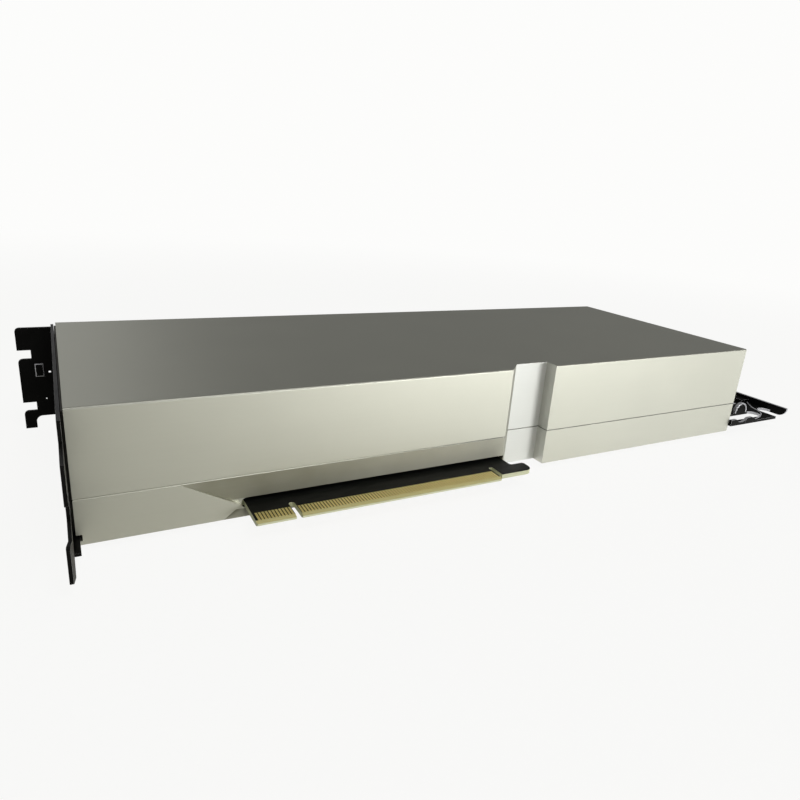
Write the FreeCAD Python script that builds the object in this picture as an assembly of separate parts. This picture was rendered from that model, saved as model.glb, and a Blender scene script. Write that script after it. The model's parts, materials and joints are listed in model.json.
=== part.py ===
"""Passive dual-slot accelerator card: full height, 267.5 mm shell, x16 edge connector.

The card lies on its underside with the component side up. X runs from the bracket to the tail,
Y from the edge connector to the far long edge, and Z up through the component side. The origin is
the middle of the shell's flat underside. All sizes are in millimetres.
"""
import FreeCAD, Part
import math
import os

VEC = FreeCAD.Vector
OUT_DIR = "parts"
EPS = 1.0                        # how far a cutting tool runs past the face that it cuts
TOUCH = 0.01                     # nearer than this, two places are the same
ROUND_SIDES = 12                 # flats on a small round part, since such parts repeat many times

# Shell: two covers that meet at a seam, both open at the bracket end and at the tail
shell_length = 267.5
shell_width = 99.4
shell_height = 38.6
seam_height = 13.4
sheet = 1.2                      # top and bottom thickness
side_wall = 1.8
top_edge_radius = 0.6
latch_notch_start = 138.6        # from the shell's bracket end
latch_notch_length = 19.4
latch_notch_depth = 5.2
latch_notch_lead = 5.2           # how far the notch's bracket end slopes along the edge

# Circuit board and its edge connector tongue
board_thickness = 1.57
board_top_height = 4.0
board_side_gap = 0.6
board_start_gap = 1.9            # from the shell's bracket end
board_tail_gap = 9.0             # from the shell's tail end
tongue_start = 44.9              # from the shell's bracket end
tongue_reach = 11.8
tongue_length = 85.2
key_start = 11.65
key_width = 1.9
key_depth = 8.25
bevel_length = 1.3
bevel_angle = 20.0
tongue_corner = 0.5

# Retention hook beside the tongue
hook_gap = 1.5
hook_setback = 2.0
hook_neck = 7.9                  # width of the hook's stem
hook_length = 13.6               # from the gap to the nose
hook_depth = 6.0
hook_nose_radius = 3.0
hook_throat_radius = 1.0

# Gold contacts on both faces of the tongue
contact_pitch = 1.0
contact_width = 0.7
contact_key_gap = 0.55           # from either side of the key to the nearest contact's middle
contact_length = 4.3
contact_plating = 0.05
contacts_before_key = 11
contacts_after_key = 71

# Slot in the lower cover for the tongue, and the relief round the slot connector
slot_side_gap = 1.0
slot_top_gap = 1.4
slot_bottom_gap = 0.4
relief_depth = 1.3               # at the slot; the groove's two slopes meet the wall's face
relief_lead = 18.4               # how far the relief starts ahead of the tongue, at the seam
relief_lead_bottom = 6.5
relief_tip_lead = 1.4

# Bracket
bracket_sheet = 0.9
bracket_gap = 0.7                # between the plate and the shell
bracket_low = 2.0                # plate's lower edge above the shell's underside
bracket_high = 38.0
bracket_foot = 5.0               # plate's bottom edge, in from the tongue's outer edge
bracket_head = 110.9             # flange's outer face, from the tongue's outer edge
slot_pitch = 20.32
tab_width = 10.2
tab_low = 1.8                    # first insertion tab's lower edge above the underside
tab_reach = 9.0                  # past the tongue's outer edge
tab_taper = 0.4
tab_flare = 0.6                  # how far the lower tab's tip leans outward
tab_flare_run = 3.0              # and over what length
flange_depth = 11.8
flange_high = 37.1
flange_low = 2.6
flange_corner = 1.5
screw_notch_low = 5.0            # first screw notch's lower edge above the underside
screw_notch_width = 3.3
screw_notch_depth = 4.4
ear_low = -2.1
ear_width = 3.8
ear_fillet = 2.2
ear_lip_radius = 1.6
foot_tab_width = 1.6
foot_tab_start = 3.8             # from the tongue's outer edge
foot_tab_end = 22.0
foot_tab_drop = 0.3              # clearance under the foot tab where it passes the lower cover
spring_pad = (3.0, 5.1, 0.5)     # pressed pad on the flange: along X, along Z, raised
spring_pad_x = 5.2               # its middle, out from the plate's outer face
spring_pad_z = 20.8
tooling_hole_places = ((1.9, -1.0), (3.9, -11.5))   # out from the plate, up from the pad's middle
tooling_hole_radii = (0.45, 0.3)
bracket_screw_wall_gap = 14.0

# Vent grille in the bracket's plate
vent_radius = 2.6                # hexagon's corner radius
vent_pitch = 6.2
vent_columns = 13
vent_rows = 4
vent_low = 14.6

# Heatsink
base_thickness = 3.5
base_height = 8.5                # underside of the base plate above the shell's underside
base_side_gap = 0.5
base_tail_gap = 28.0             # from the shell's tail end
fin_sheet = 0.4
fin_pitch = 3.1
fin_count = 27
fin_groove = 0.8                 # how deep each fin stands in the base plate
fin_groove_gap = 0.05
fin_start_gap = 5.0              # from the shell's bracket end
fin_cover_gap = 0.2
leg_radius = 2.6
leg_gap = 1.5                    # between the package's side and a leg
leg_start = 12.0                 # from the board's bracket end
leg_tail = 6.0                   # from the base plate's tail end
leg_wall_gap = 9.0
leg_screw_grip = 4.0

# Processor package, in the middle of the board's width
package_from_tongue = 78.0       # its middle, from the tongue's bracket end
package_size = 55.0
substrate_thickness = 1.7
die_length = 26.0
die_width = 33.0
die_thickness = 0.7
memory_length = 10.0
memory_width = 10.6
memory_gap = 0.8
stiffener_width = 3.0
stiffener_thickness = 0.6
paste_thickness = 0.1
chamber_size = 56.0
chamber_pocket = 1.0

# Power parts, in two banks either side of the package
bank_offset = 46.0
bank_count = 8
bank_pitch = 9.4
inductor_size = 7.2
inductor_height = 4.0
stage_length = 6.0
stage_width = 5.0
stage_height = 0.8
stage_offset = 7.6
pad_thickness = 0.5
capacitor_size = (7.3, 4.3, 2.8)
capacitor_offset = 14.6
controller_offset = 29.2         # from the bank's middle
controller_size = (7.0, 7.0, 0.9)

# Screws and posts
post_radius = 2.6
post_wall_inset = 1.6
post_end_gap = 9.0
post_mid_start = 173.0           # from the shell's bracket end
screw_radius = 1.25
screw_hole_gap = 0.15
screw_head_radius = 2.2
screw_head_height = 1.1
screw_grip = 5.0
boss_radius = 2.6
seat_wall_gap = 11.0

# Insulating film under the board
film_thickness = 0.2
film_margin = 2.0

# Power connector at the tail
plug_columns = 4
plug_rows = 2
plug_pitch = 4.2
plug_cell = 3.6
plug_border = 0.9
plug_depth = 13.0
plug_floor = 3.0
plug_pin = 1.0
plug_pin_recess = 1.5
plug_side_gap = 12.0             # from the shell's far wall
plug_latch = (3.3, 3.0, 1.2)     # ledge for the plug's latch: length, width, height
plug_latch_setback = 1.7

# Tail extender
extender_reach = 43.0            # past the shell's tail end
extender_sheet = 1.2
extender_seat = 8.0              # how far it reaches into the shell
extender_seat_gap = 0.4
extender_front = 1.2             # how far it stands out in front of the shell's front wall
extender_wall = 3.0              # height of the end wall above the plate's top face
extender_lip_height = 1.8        # height of the front lip above the plate's top face
extender_lip_length = 15.0
extender_lip_slope = 5.4         # run of the lip's sloped end
extender_slot_width = 7.5
extender_slot_length = 11.5
extender_corner = 3.9
extender_corner_land = 0.2       # least upright edge left beside the corner's round
window_start = 5.5
window_length = 24.0
window_width = 6.6
window_front = 3.0
centre_window_length = 27.0
centre_window_gap = 9.0
lug_width = 8.6
lug_height = 5.0
lug_from_shell = 20.8
lip_scoop_width = 8.0
lip_scoop_depth = 1.7
extender_step = 7.0
extender_step_rise = 1.6

# Places worked out from the sizes above
shell_x0 = -shell_length / 2
shell_x1 = shell_length / 2
front_y = -shell_width / 2
back_y = shell_width / 2
edge_y = front_y - tongue_reach
tongue_x0 = shell_x0 + tongue_start
tongue_x1 = tongue_x0 + tongue_length
notch_x0 = shell_x0 + latch_notch_start
notch_x1 = notch_x0 + latch_notch_length
notch_y = front_y + latch_notch_depth
board_z1 = board_top_height
board_z0 = board_z1 - board_thickness
board_x0 = shell_x0 + board_start_gap
board_x1 = shell_x1 - board_tail_gap
inner_front_y = front_y + side_wall
inner_back_y = back_y - side_wall
stem_x1 = tongue_x1 + hook_gap + hook_neck
plate_x1 = shell_x0 - bracket_gap
plate_x0 = plate_x1 - bracket_sheet
base_z0 = base_height
base_z1 = base_z0 + base_thickness
package_x = tongue_x0 + package_from_tongue
package_z = board_z1 + substrate_thickness
die_z1 = package_z + die_thickness
paste_z1 = die_z1 + paste_thickness
bank_xs = (package_x - bank_offset, package_x + bank_offset)
lid_z = shell_height - sheet


def box(x0, x1, y0, y1, z0, z1):
    """A block between two corners."""
    return Part.makeBox(x1 - x0, y1 - y0, z1 - z0, VEC(x0, y0, z0))


def polygon(points):
    """A flat face inside straight edges through the points."""
    return Part.Face(Part.makePolygon(points + [points[0]]))


def ring(x, y, z, radius):
    """Corners of the many-sided outline of a small round part."""
    angles = [2 * math.pi * i / ROUND_SIDES for i in range(ROUND_SIDES)]
    return [VEC(x + radius * math.cos(angle), y + radius * math.sin(angle), z) for angle in angles]


def rod(x, y, z0, z1, radius):
    """An upright round bar."""
    return polygon(ring(x, y, z0, radius)).extrude(VEC(0, 0, z1 - z0))


def taper(x, y, z0, z1, radius0, radius1):
    """An upright round bar whose radius changes evenly from its low end to its high end."""
    low = ring(x, y, z0, radius0)
    high = ring(x, y, z1, radius1)
    sides = [polygon([low[i - 1], low[i], high[i], high[i - 1]]) for i in range(ROUND_SIDES)]
    shell = Part.makeShell([polygon(low), polygon(high)] + sides)
    shell.sewShape()
    solid = Part.Solid(shell)
    if solid.Volume < 0:
        solid.reverse()
    return solid


def flat(points, z0, z1):
    """A plate of any outline, given as X and Y pairs, between two heights."""
    face = polygon([VEC(x, y, z0) for x, y in points])
    return face.extrude(VEC(0, 0, z1 - z0))


def fuse(solids):
    """One solid from several that touch or overlap."""
    joined = solids[0]
    for solid in solids[1:]:
        joined = joined.fuse(solid)
    return joined.removeSplitter()


def cut(solid, tools):
    """The solid without the tools."""
    for tool in tools:
        solid = solid.cut(tool)
    return solid


def round_edges(solid, radius, wanted):
    """The solid with a fillet on each edge that the test picks."""
    edges = [edge for edge in solid.Edges if wanted(edge)]
    return solid.makeFillet(radius, edges)


def is_upright_at(edge, x, y):
    """Whether an edge is upright and stands at the given place."""
    bounds = edge.BoundBox
    middle = bounds.Center
    is_upright = max(bounds.XLength, bounds.YLength) < TOUCH
    return is_upright and math.hypot(middle.x - x, middle.y - y) < TOUCH


def save(name, shape):
    """Write one node."""
    shape.exportStep(os.path.join(OUT_DIR, name + ".step"))


def shell_body(inset, z0, z1, overrun=0.0):
    """The shell's outline with the latch notch, moved in by a wall, as a block between two heights."""
    left = shell_x0 - overrun
    right = shell_x1 + overrun
    low = front_y + inset
    high = back_y - inset
    turn = inset * (math.hypot(latch_notch_lead, latch_notch_depth) - latch_notch_lead) / latch_notch_depth
    slope_x1 = notch_x0 + latch_notch_lead - turn
    outline = [(left, low), (notch_x0 - turn, low), (slope_x1, notch_y + inset)]
    outline += [(notch_x1 + inset, notch_y + inset), (notch_x1 + inset, low), (right, low)]
    outline += [(right, high), (left, high)]
    return flat(outline, z0, z1)


def post_places():
    """Middles of the six posts that hold the covers together."""
    low = inner_front_y + post_wall_inset
    high = inner_back_y - post_wall_inset
    xs = (shell_x0 + post_end_gap, shell_x0 + post_mid_start, shell_x1 - extender_seat - post_end_gap)
    return [(x, y) for y in (low, high) for x in xs]


def leg_places():
    """Middles of the heatsink's eight legs: four round the package and four at the base's corners."""
    near = package_size / 2 + leg_gap + leg_radius
    far_x0 = board_x0 + leg_start
    far_x1 = shell_x1 - base_tail_gap - leg_tail
    far_y = inner_back_y - leg_wall_gap
    around = [(package_x + sx * near, sy * near) for sx in (-1, 1) for sy in (-1, 1)]
    return around + [(x, sy * far_y) for x in (far_x0, far_x1) for sy in (-1, 1)]


def seat_places():
    """Middles of the bosses that the tail extender is screwed to."""
    x = shell_x1 - extender_seat / 2
    reach = inner_back_y - seat_wall_gap
    return [(x, y) for y in (-reach, -reach / 3, reach / 3, reach)]


def sunk_screw(x, y, z_tip, head_height=screw_head_height, gap=0.0):
    """A countersunk screw driven upward from height zero, or with a gap the space round it."""
    head = taper(x, y, 0.0, head_height, screw_head_radius + gap, screw_radius + gap)
    return fuse([head, rod(x, y, head_height, z_tip, screw_radius + gap)])


def sunk_hole(x, y, z_tip):
    """The hole that a countersunk screw drops into from the underside."""
    mouth = rod(x, y, -EPS, 0.0, screw_head_radius + screw_hole_gap)
    return mouth.fuse(sunk_screw(x, y, z_tip, gap=screw_hole_gap))


def upper_cover():
    """Top face and the upper side walls, with six posts inside for the cover screws."""
    shell = shell_body(0.0, seam_height, shell_height)

    def is_long_top_edge(edge):
        bounds = edge.BoundBox
        on_side = min(abs(bounds.YMin - y) for y in (front_y, back_y)) < TOUCH
        return bounds.ZMin > shell_height - TOUCH and bounds.YLength < TOUCH and on_side

    shell = round_edges(shell, top_edge_radius, is_long_top_edge)
    shell = shell.cut(shell_body(side_wall, seam_height - EPS, lid_z, EPS))
    posts = [rod(x, y, sheet, lid_z, post_radius) for x, y in post_places()]
    room = shell_body(side_wall, sheet, lid_z, EPS)
    shell = fuse([shell] + [post.common(room) for post in posts])
    tip = sheet + screw_grip + screw_head_height
    return cut(shell, [rod(x, y, sheet - EPS, tip, screw_radius) for x, y in post_places()])


def tongue_slot():
    """The space that the tongue and the hook's stem pass through, with a round bracket end."""
    z0 = board_z0 - slot_bottom_gap
    z1 = board_z1 + slot_top_gap
    radius = (z1 - z0) / 2
    x0 = tongue_x0 - slot_side_gap
    y0 = front_y - EPS
    y1 = notch_y + side_wall + EPS
    end = Part.makeCylinder(radius, y1 - y0, VEC(x0 + radius, y0, z0 + radius), VEC(0, 1, 0))
    return end.fuse(box(x0 + radius, stem_x1 + board_side_gap, y0, y1, z0, z1))


def connector_relief():
    """A shallow groove along the front wall that clears the slot connector. Its slopes lead in from the
    seam and from the underside to the slot, and its bracket end comes to a point beside the tongue."""
    deep_y = front_y + relief_depth
    slopes = [(front_y - EPS, seam_height), (front_y, seam_height), (deep_y, board_z1 + slot_top_gap)]
    slopes += [(deep_y, board_z0 - slot_bottom_gap), (front_y, 0.0), (front_y - EPS, 0.0)]
    seam_x = tongue_x0 - relief_lead
    low_x = tongue_x0 - relief_lead_bottom
    right = notch_x0 + latch_notch_lead
    groove = polygon([VEC(seam_x, y, z) for y, z in slopes]).extrude(VEC(right - seam_x, 0, 0))
    outline = [(seam_x, seam_height), (tongue_x0 - relief_tip_lead, board_z1), (low_x, 0.0)]
    outline += [(right, 0.0), (right, seam_height)]
    face = polygon([VEC(x, front_y - EPS, z) for x, z in outline])
    return groove.common(face.extrude(VEC(0, relief_depth + EPS, 0)))


def lower_cover():
    """Flat underside and the lower side walls, with bosses for the board and sunk screw holes."""
    shell = shell_body(0.0, 0.0, seam_height)
    shell = shell.cut(shell_body(side_wall, sheet, seam_height + EPS, EPS))
    bosses = [rod(x, y, sheet, board_z0, boss_radius) for x, y in leg_places() + seat_places()]
    shell = fuse([shell] + bosses)
    shell = cut(shell, [tongue_slot(), connector_relief(), foot_tab(board_side_gap, foot_tab_drop)])
    holes = [sunk_hole(x, y, board_z0 + EPS) for x, y in post_places() + leg_places() + seat_places()]
    return cut(shell, holes)


def hook():
    """The hook beside the tongue that the slot's latch grips."""
    x0 = tongue_x1 + hook_gap
    y0 = edge_y + hook_setback
    nose = box(x0, x0 + hook_length, y0, y0 + hook_depth, board_z0, board_z1)
    nose = round_edges(nose, hook_nose_radius, lambda edge: is_upright_at(edge, x0 + hook_length, y0))
    far = y0 + hook_depth
    nose = round_edges(nose, hook_throat_radius, lambda edge: is_upright_at(edge, x0 + hook_length, far))
    stem = box(x0, stem_x1, y0, front_y + EPS, board_z0, board_z1)
    joined = fuse([nose, stem])
    return round_edges(joined, hook_throat_radius, lambda edge: is_upright_at(edge, stem_x1, far))


def bevel_tool(z_face, side):
    """A wedge along the tongue's outer edge, for its upper (side 1) or lower (side -1) bevel."""
    drop = (bevel_length + EPS) * math.tan(math.radians(bevel_angle))
    x0 = tongue_x0 - EPS
    y0 = edge_y - EPS
    y1 = edge_y + bevel_length
    away = z_face + side * EPS
    points = [VEC(x0, y1, z_face), VEC(x0, y0, z_face - side * drop), VEC(x0, y0, away), VEC(x0, y1, away)]
    return polygon(points).extrude(VEC(tongue_length + 2 * EPS, 0, 0))


def circuit_board():
    """Board with the edge connector tongue, its key notch and bevel, and the retention hook."""
    z = (board_z0, board_z1)
    gap = side_wall + board_side_gap
    body = box(board_x0, board_x1, front_y + gap, back_y - gap, *z)
    body = body.cut(box(notch_x0 - gap, notch_x1 + gap, front_y, notch_y + gap, *z))
    tongue = box(tongue_x0, tongue_x1, edge_y, notch_y + gap + EPS, *z)
    for corner_x in (tongue_x0, tongue_x1):
        tongue = round_edges(tongue, tongue_corner, lambda edge: is_upright_at(edge, corner_x, edge_y))
    tongue = cut(tongue, [bevel_tool(board_z1, 1), bevel_tool(board_z0, -1)])
    key_x = tongue_x0 + key_start
    key = box(key_x, key_x + key_width, edge_y - EPS, edge_y + key_depth - key_width / 2, *z)
    key_end = rod(key_x + key_width / 2, edge_y + key_depth - key_width / 2, *z, key_width / 2)
    gap_end = edge_y + key_depth
    root = box(tongue_x1 - EPS, stem_x1, gap_end, notch_y + gap + EPS, *z)
    board = fuse([body, tongue.cut(key.fuse(key_end)), root, hook()])
    ports = [rod(x, y, *z, post_radius + board_side_gap) for x, y in post_places()]
    holes = [rod(x, y, *z, screw_radius + screw_hole_gap) for x, y in leg_places()]
    return cut(board, ports + holes)


def edge_contacts(z0):
    """Gold contacts in two groups either side of the key, on the face at the given height."""
    key_x0 = tongue_x0 + key_start
    before = [key_x0 - contact_key_gap - i * contact_pitch for i in range(contacts_before_key)]
    after = [key_x0 + key_width + contact_key_gap + i * contact_pitch for i in range(contacts_after_key)]
    y0 = edge_y + bevel_length
    half = contact_width / 2
    pads = []
    for x in before + after:
        pads.append(box(x - half, x + half, y0, y0 + contact_length, z0, z0 + contact_plating))
    return Part.makeCompound(pads)


def foot_tab(gap=0.0, drop=0.0):
    """The bracket's folded foot, or with a gap the opening that it needs in the lower cover's wall."""
    y0 = edge_y + foot_tab_start - gap
    y1 = edge_y + foot_tab_end
    z0 = board_z0 - bracket_sheet - drop
    return box(plate_x1 - gap, plate_x1 + foot_tab_width + gap, y0, y1, z0, board_z0 + gap)


def bracket_plate():
    """Upright plate with two insertion tabs, the lower one with a tip that leans outward."""
    foot_y = edge_y + bracket_foot
    head_y = edge_y + bracket_head
    plate = box(plate_x0, plate_x1, foot_y, head_y, bracket_low, bracket_high)
    tip_y = edge_y - tab_reach
    lean_y = tip_y + tab_flare_run
    tabs = []
    for i, lean in enumerate((tab_flare, 0.0)):
        side = [(plate_x1, foot_y + EPS), (plate_x0, foot_y + EPS), (plate_x0, lean_y)]
        side += [(plate_x0 - lean, tip_y), (plate_x1 - lean, tip_y), (plate_x1, lean_y)]
        low = tab_low + i * slot_pitch
        high = low + tab_width
        blank = flat(side, low, high)
        outline = [VEC(0, foot_y + EPS, low), VEC(0, tip_y + tab_taper, low)]
        outline += [VEC(0, tip_y, low + tab_taper), VEC(0, tip_y, high - tab_taper)]
        outline += [VEC(0, tip_y + tab_taper, high), VEC(0, foot_y + EPS, high)]
        start = VEC(plate_x0 - lean - EPS, 0, 0)
        form = polygon([point + start for point in outline])
        tabs.append(blank.common(form.extrude(VEC(bracket_sheet + lean + 2 * EPS, 0, 0))))
    return fuse([plate] + tabs)


def vent_holes():
    """Hexagonal vent holes in staggered rows."""
    holes = []
    row_step = vent_pitch * math.sin(math.radians(60))
    for row in range(vent_rows):
        shift = (row % 2) * vent_pitch / 2
        count = vent_columns - row % 2
        z = vent_low + row * row_step
        first = -(vent_columns - 1) * vent_pitch / 2 + shift
        for column in range(count):
            y = first + column * vent_pitch
            angles = [math.radians(60 * corner + 30) for corner in range(6)]
            spokes = [VEC(0, math.cos(angle), math.sin(angle)) * vent_radius for angle in angles]
            corners = [VEC(plate_x0 - EPS, y, z) + spoke for spoke in spokes]
            holes.append(polygon(corners).extrude(VEC(bracket_sheet + 2 * EPS, 0, 0)))
    return holes


def bracket_flange():
    """Top flange with two open screw notches and a narrow end ear that hooks past the shell."""
    y1 = edge_y + bracket_head
    y0 = y1 - bracket_sheet
    x0 = plate_x0 - flange_depth
    body = box(x0, plate_x1, y0, y1, flange_low, flange_high)
    ear = box(x0, x0 + ear_width, y0, y1, ear_low, flange_low + EPS)
    flange = fuse([body, ear])

    def is_corner(edge, x, z):
        bounds = edge.BoundBox
        middle = bounds.Center
        is_through = bounds.YLength > bracket_sheet - TOUCH
        return is_through and math.hypot(middle.x - x, middle.z - z) < TOUCH

    flange = round_edges(flange, flange_corner, lambda edge: is_corner(edge, x0, flange_high))
    flange = round_edges(flange, ear_fillet, lambda edge: is_corner(edge, x0 + ear_width, flange_low))
    for i in range(2):
        low = screw_notch_low + i * slot_pitch
        high = low + screw_notch_width
        notch = box(x0 - EPS, x0 + screw_notch_depth, y0 - EPS, y1 + EPS, low, high)
        flange = flange.cut(notch)
        flange = round_edges(flange, ear_lip_radius, lambda edge: is_corner(edge, x0, low))
    return flange


def io_bracket():
    """Black pressed bracket: vented plate, insertion tabs, screw flange and the folded foot."""
    y1 = edge_y + bracket_head
    y0 = y1 - bracket_sheet
    length, height, raised = spring_pad
    pad_x0 = plate_x0 - spring_pad_x - length / 2
    pad_z0 = spring_pad_z - height / 2
    pad = box(pad_x0, pad_x0 + length, y0 - raised, y0, pad_z0, pad_z0 + height)
    bracket = fuse([bracket_plate(), bracket_flange(), pad, foot_tab()])
    bracket = cut(bracket, vent_holes())
    for (out, up), radius in zip(tooling_hole_places, tooling_hole_radii):
        start = VEC(plate_x0 - out, y0 - EPS, spring_pad_z + up)
        hole = Part.makeCylinder(radius, bracket_sheet + 2 * EPS, start, VEC(0, 1, 0))
        bracket = bracket.cut(hole)
    return cut(bracket, [bracket_screw(y, screw_hole_gap) for y in bracket_screw_places()])


def bracket_screw_places():
    """Places across the plate of the screws that hold the bracket to the heatsink base."""
    reach = inner_back_y - bracket_screw_wall_gap
    return (-reach, 0.0, reach)


def bracket_screw(y, gap=0.0):
    """A flat-headed screw through the bracket's plate into the heatsink base."""
    screw = sunk_screw(0.0, 0.0, bracket_sheet + screw_grip, bracket_sheet, gap)
    screw.rotate(VEC(0, 0, 0), VEC(0, 1, 0), 90)
    screw.translate(VEC(plate_x0, y, base_z0 + (base_thickness - fin_groove) / 2))
    return screw


def fin_places():
    """Low Y face of each fin."""
    return [(i - (fin_count - 1) / 2) * fin_pitch - fin_sheet / 2 for i in range(fin_count)]


def heatsink_base():
    """Aluminium base plate: legs on the board, a pocket for the chamber, ribs over the power stages
    and a groove for each fin."""
    gap = side_wall + base_side_gap
    x1 = shell_x1 - base_tail_gap
    plate = box(plate_x1, x1, front_y + gap, back_y - gap, base_z0, base_z1)
    plate = plate.cut(box(notch_x0 - gap, notch_x1 + gap, front_y, notch_y + gap, base_z0, base_z1))
    legs = [rod(x, y, board_z1, base_z0, leg_radius) for x, y in leg_places()]
    rib_z0 = board_z1 + stage_height + pad_thickness
    half = bank_count * bank_pitch / 2
    ribs = []
    for x, side in zip(bank_xs, (1, -1)):
        middle = x + side * stage_offset
        ribs.append(box(middle - stage_width / 2, middle + stage_width / 2, -half, half, rib_z0, base_z0))
    base = fuse([plate] + legs + ribs)
    size = chamber_size / 2
    pocket = box(package_x - size, package_x + size, -size, size, base_z0 - EPS, base_z0 + chamber_pocket)
    ports = [rod(x, y, base_z0, base_z1, post_radius + base_side_gap) for x, y in post_places()]
    tip = base_z0 + chamber_pocket
    holes = [rod(x, y, board_z1, tip, screw_radius) for x, y in leg_places()]
    screws = [bracket_screw(y) for y in bracket_screw_places()]
    gap = fin_groove_gap
    x0 = shell_x0 + fin_start_gap - EPS
    grooves = [box(x0, x1 + EPS, y - gap, y + fin_sheet + gap, base_z1 - fin_groove, base_z1 + EPS)
               for y in fin_places()]
    return cut(base, [pocket] + ports + holes + screws + grooves)


def vapour_chamber():
    """Copper chamber between the processor and the base plate."""
    size = chamber_size / 2
    return box(package_x - size, package_x + size, -size, size, paste_z1, base_z0 + chamber_pocket)


def heatsink_fins():
    """Straight fins that stand in the base plate's grooves and reach up to the cover."""
    x0 = shell_x0 + fin_start_gap
    x1 = shell_x1 - base_tail_gap
    z0 = base_z1 - fin_groove
    z1 = lid_z - fin_cover_gap
    return Part.makeCompound([box(x0, x1, y, y + fin_sheet, z0, z1) for y in fin_places()])


def processor_substrate():
    """Square carrier of the processor package."""
    half = package_size / 2
    return box(package_x - half, package_x + half, -half, half, board_z1, package_z)


def package_stiffener():
    """Metal ring round the edge of the package."""
    half = package_size / 2
    inner = half - stiffener_width
    top = package_z + stiffener_thickness
    ring = box(package_x - half, package_x + half, -half, half, package_z, top)
    return ring.cut(box(package_x - inner, package_x + inner, -inner, inner, package_z - EPS, top + EPS))


def processor_die():
    """The processor's silicon."""
    half_x = die_length / 2
    half_y = die_width / 2
    return box(package_x - half_x, package_x + half_x, -half_y, half_y, package_z, die_z1)


def memory_places():
    """Low corners of the six memory stacks, three along each side of the die."""
    pitch = memory_width + memory_gap
    left = package_x - die_length / 2 - memory_gap - memory_length
    right = package_x + die_length / 2 + memory_gap
    return [(x, row * pitch - memory_width / 2) for x in (left, right) for row in (-1, 0, 1)]


def memory_stacks():
    """Six memory stacks on the carrier."""
    z = (package_z, die_z1)
    return Part.makeCompound([box(x, x + memory_length, y, y + memory_width, *z) for x, y in memory_places()])


def thermal_paste():
    """Paste on the die and the memory stacks."""
    half_x = die_length / 2 + memory_gap + memory_length
    half_y = 1.5 * memory_width + memory_gap
    return box(package_x - half_x, package_x + half_x, -half_y, half_y, die_z1, paste_z1)


def chip(x, y, size):
    """A block on the board, given its middle and its length, width and height."""
    length, width, height = size
    return box(x - length / 2, x + length / 2, y - width / 2, y + width / 2, board_z1, board_z1 + height)


def bank_chips(offset, size):
    """One block to each power phase in both banks, moved from the bank's middle towards the package."""
    ys = [(i - (bank_count - 1) / 2) * bank_pitch for i in range(bank_count)]
    xs = [x + side * offset for x, side in zip(bank_xs, (1, -1))]
    return Part.makeCompound([chip(x, y, size) for x in xs for y in ys])


def power_inductors():
    """Square inductors, one to each power phase."""
    return bank_chips(0.0, (inductor_size, inductor_size, inductor_height))


def power_stages():
    """Flat power stage chips beside the inductors."""
    return bank_chips(stage_offset, (stage_width, stage_length, stage_height))


def thermal_pads():
    """Soft strips that carry heat from the inductors and power stages to the base."""
    half = bank_count * bank_pitch / 2
    inductor_top = board_z1 + inductor_height
    stage_top = board_z1 + stage_height
    pads = []
    for x, side in zip(bank_xs, (1, -1)):
        x0 = x - inductor_size / 2
        pads.append(box(x0, x0 + inductor_size, -half, half, inductor_top, base_z0))
        x0 = x + side * stage_offset - stage_width / 2
        pads.append(box(x0, x0 + stage_width, -half, half, stage_top, stage_top + pad_thickness))
    return Part.makeCompound(pads)


def bulk_capacitors():
    """Low block capacitors outside each bank."""
    return bank_chips(-capacitor_offset, capacitor_size)


def board_controllers():
    """Small control chips towards the two ends of the board."""
    reach = bank_offset + controller_offset
    places = [(package_x + sx * reach, sy * package_size / 2) for sx in (-1, 1) for sy in (-1, 1)]
    return Part.makeCompound([chip(x, y, controller_size) for x, y in places])


def plug_block():
    """Corners of the power connector: X, Y and Z limits."""
    depth_y = (plug_columns - 1) * plug_pitch + plug_cell + 2 * plug_border
    height = (plug_rows - 1) * plug_pitch + plug_cell + 2 * plug_border
    y1 = back_y - plug_side_gap
    return (board_x1 - plug_depth, board_x1, y1 - depth_y, y1, board_z1, board_z1 + height)


def plug_cells():
    """Middles of the connector's cells as Y and Z pairs."""
    x0, x1, y0, y1, z0, z1 = plug_block()
    first_y = y0 + plug_border + plug_cell / 2
    first_z = z0 + plug_border + plug_cell / 2
    return [(first_y + i * plug_pitch, first_z + j * plug_pitch)
            for j in range(plug_rows) for i in range(plug_columns)]


def power_connector():
    """Power connector body that opens towards the tail, with a ledge for the plug's latch."""
    x0, x1, y0, y1, z0, z1 = plug_block()
    body = box(x0, x1, y0, y1, z0, z1)
    length, width, height = plug_latch
    ledge_x1 = x1 - plug_latch_setback
    ledge_y0 = (y0 + y1 - width) / 2
    ledge = box(ledge_x1 - length, ledge_x1, ledge_y0, ledge_y0 + width, z1 - EPS, z1 + height)
    half = plug_cell / 2
    cell_x0 = x0 + plug_floor
    cells = [box(cell_x0, x1 + EPS, y - half, y + half, z - half, z + half) for y, z in plug_cells()]
    return cut(fuse([body, ledge]), cells)


def power_pins():
    """Square pins, one in each cell of the power connector."""
    x0, x1, y0, y1, z0, z1 = plug_block()
    half = plug_pin / 2
    pins = [box(x0 + plug_floor, x1 - plug_pin_recess, y - half, y + half, z - half, z + half)
            for y, z in plug_cells()]
    return Part.makeCompound(pins)


def insulating_film():
    """Thin film between the board and the lower cover, open round the bosses and posts."""
    gap = side_wall + film_margin
    z = (sheet, sheet + film_thickness)
    film = box(board_x0, board_x1 - film_margin, front_y + gap, back_y - gap, *z)
    film = film.cut(box(notch_x0 - gap, notch_x1 + gap, front_y, notch_y + gap, *z))
    bosses = [rod(x, y, *z, boss_radius + board_side_gap) for x, y in leg_places() + seat_places()]
    posts = [rod(x, y, *z, post_radius + board_side_gap) for x, y in post_places()]
    return cut(film, bosses + posts)


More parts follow.
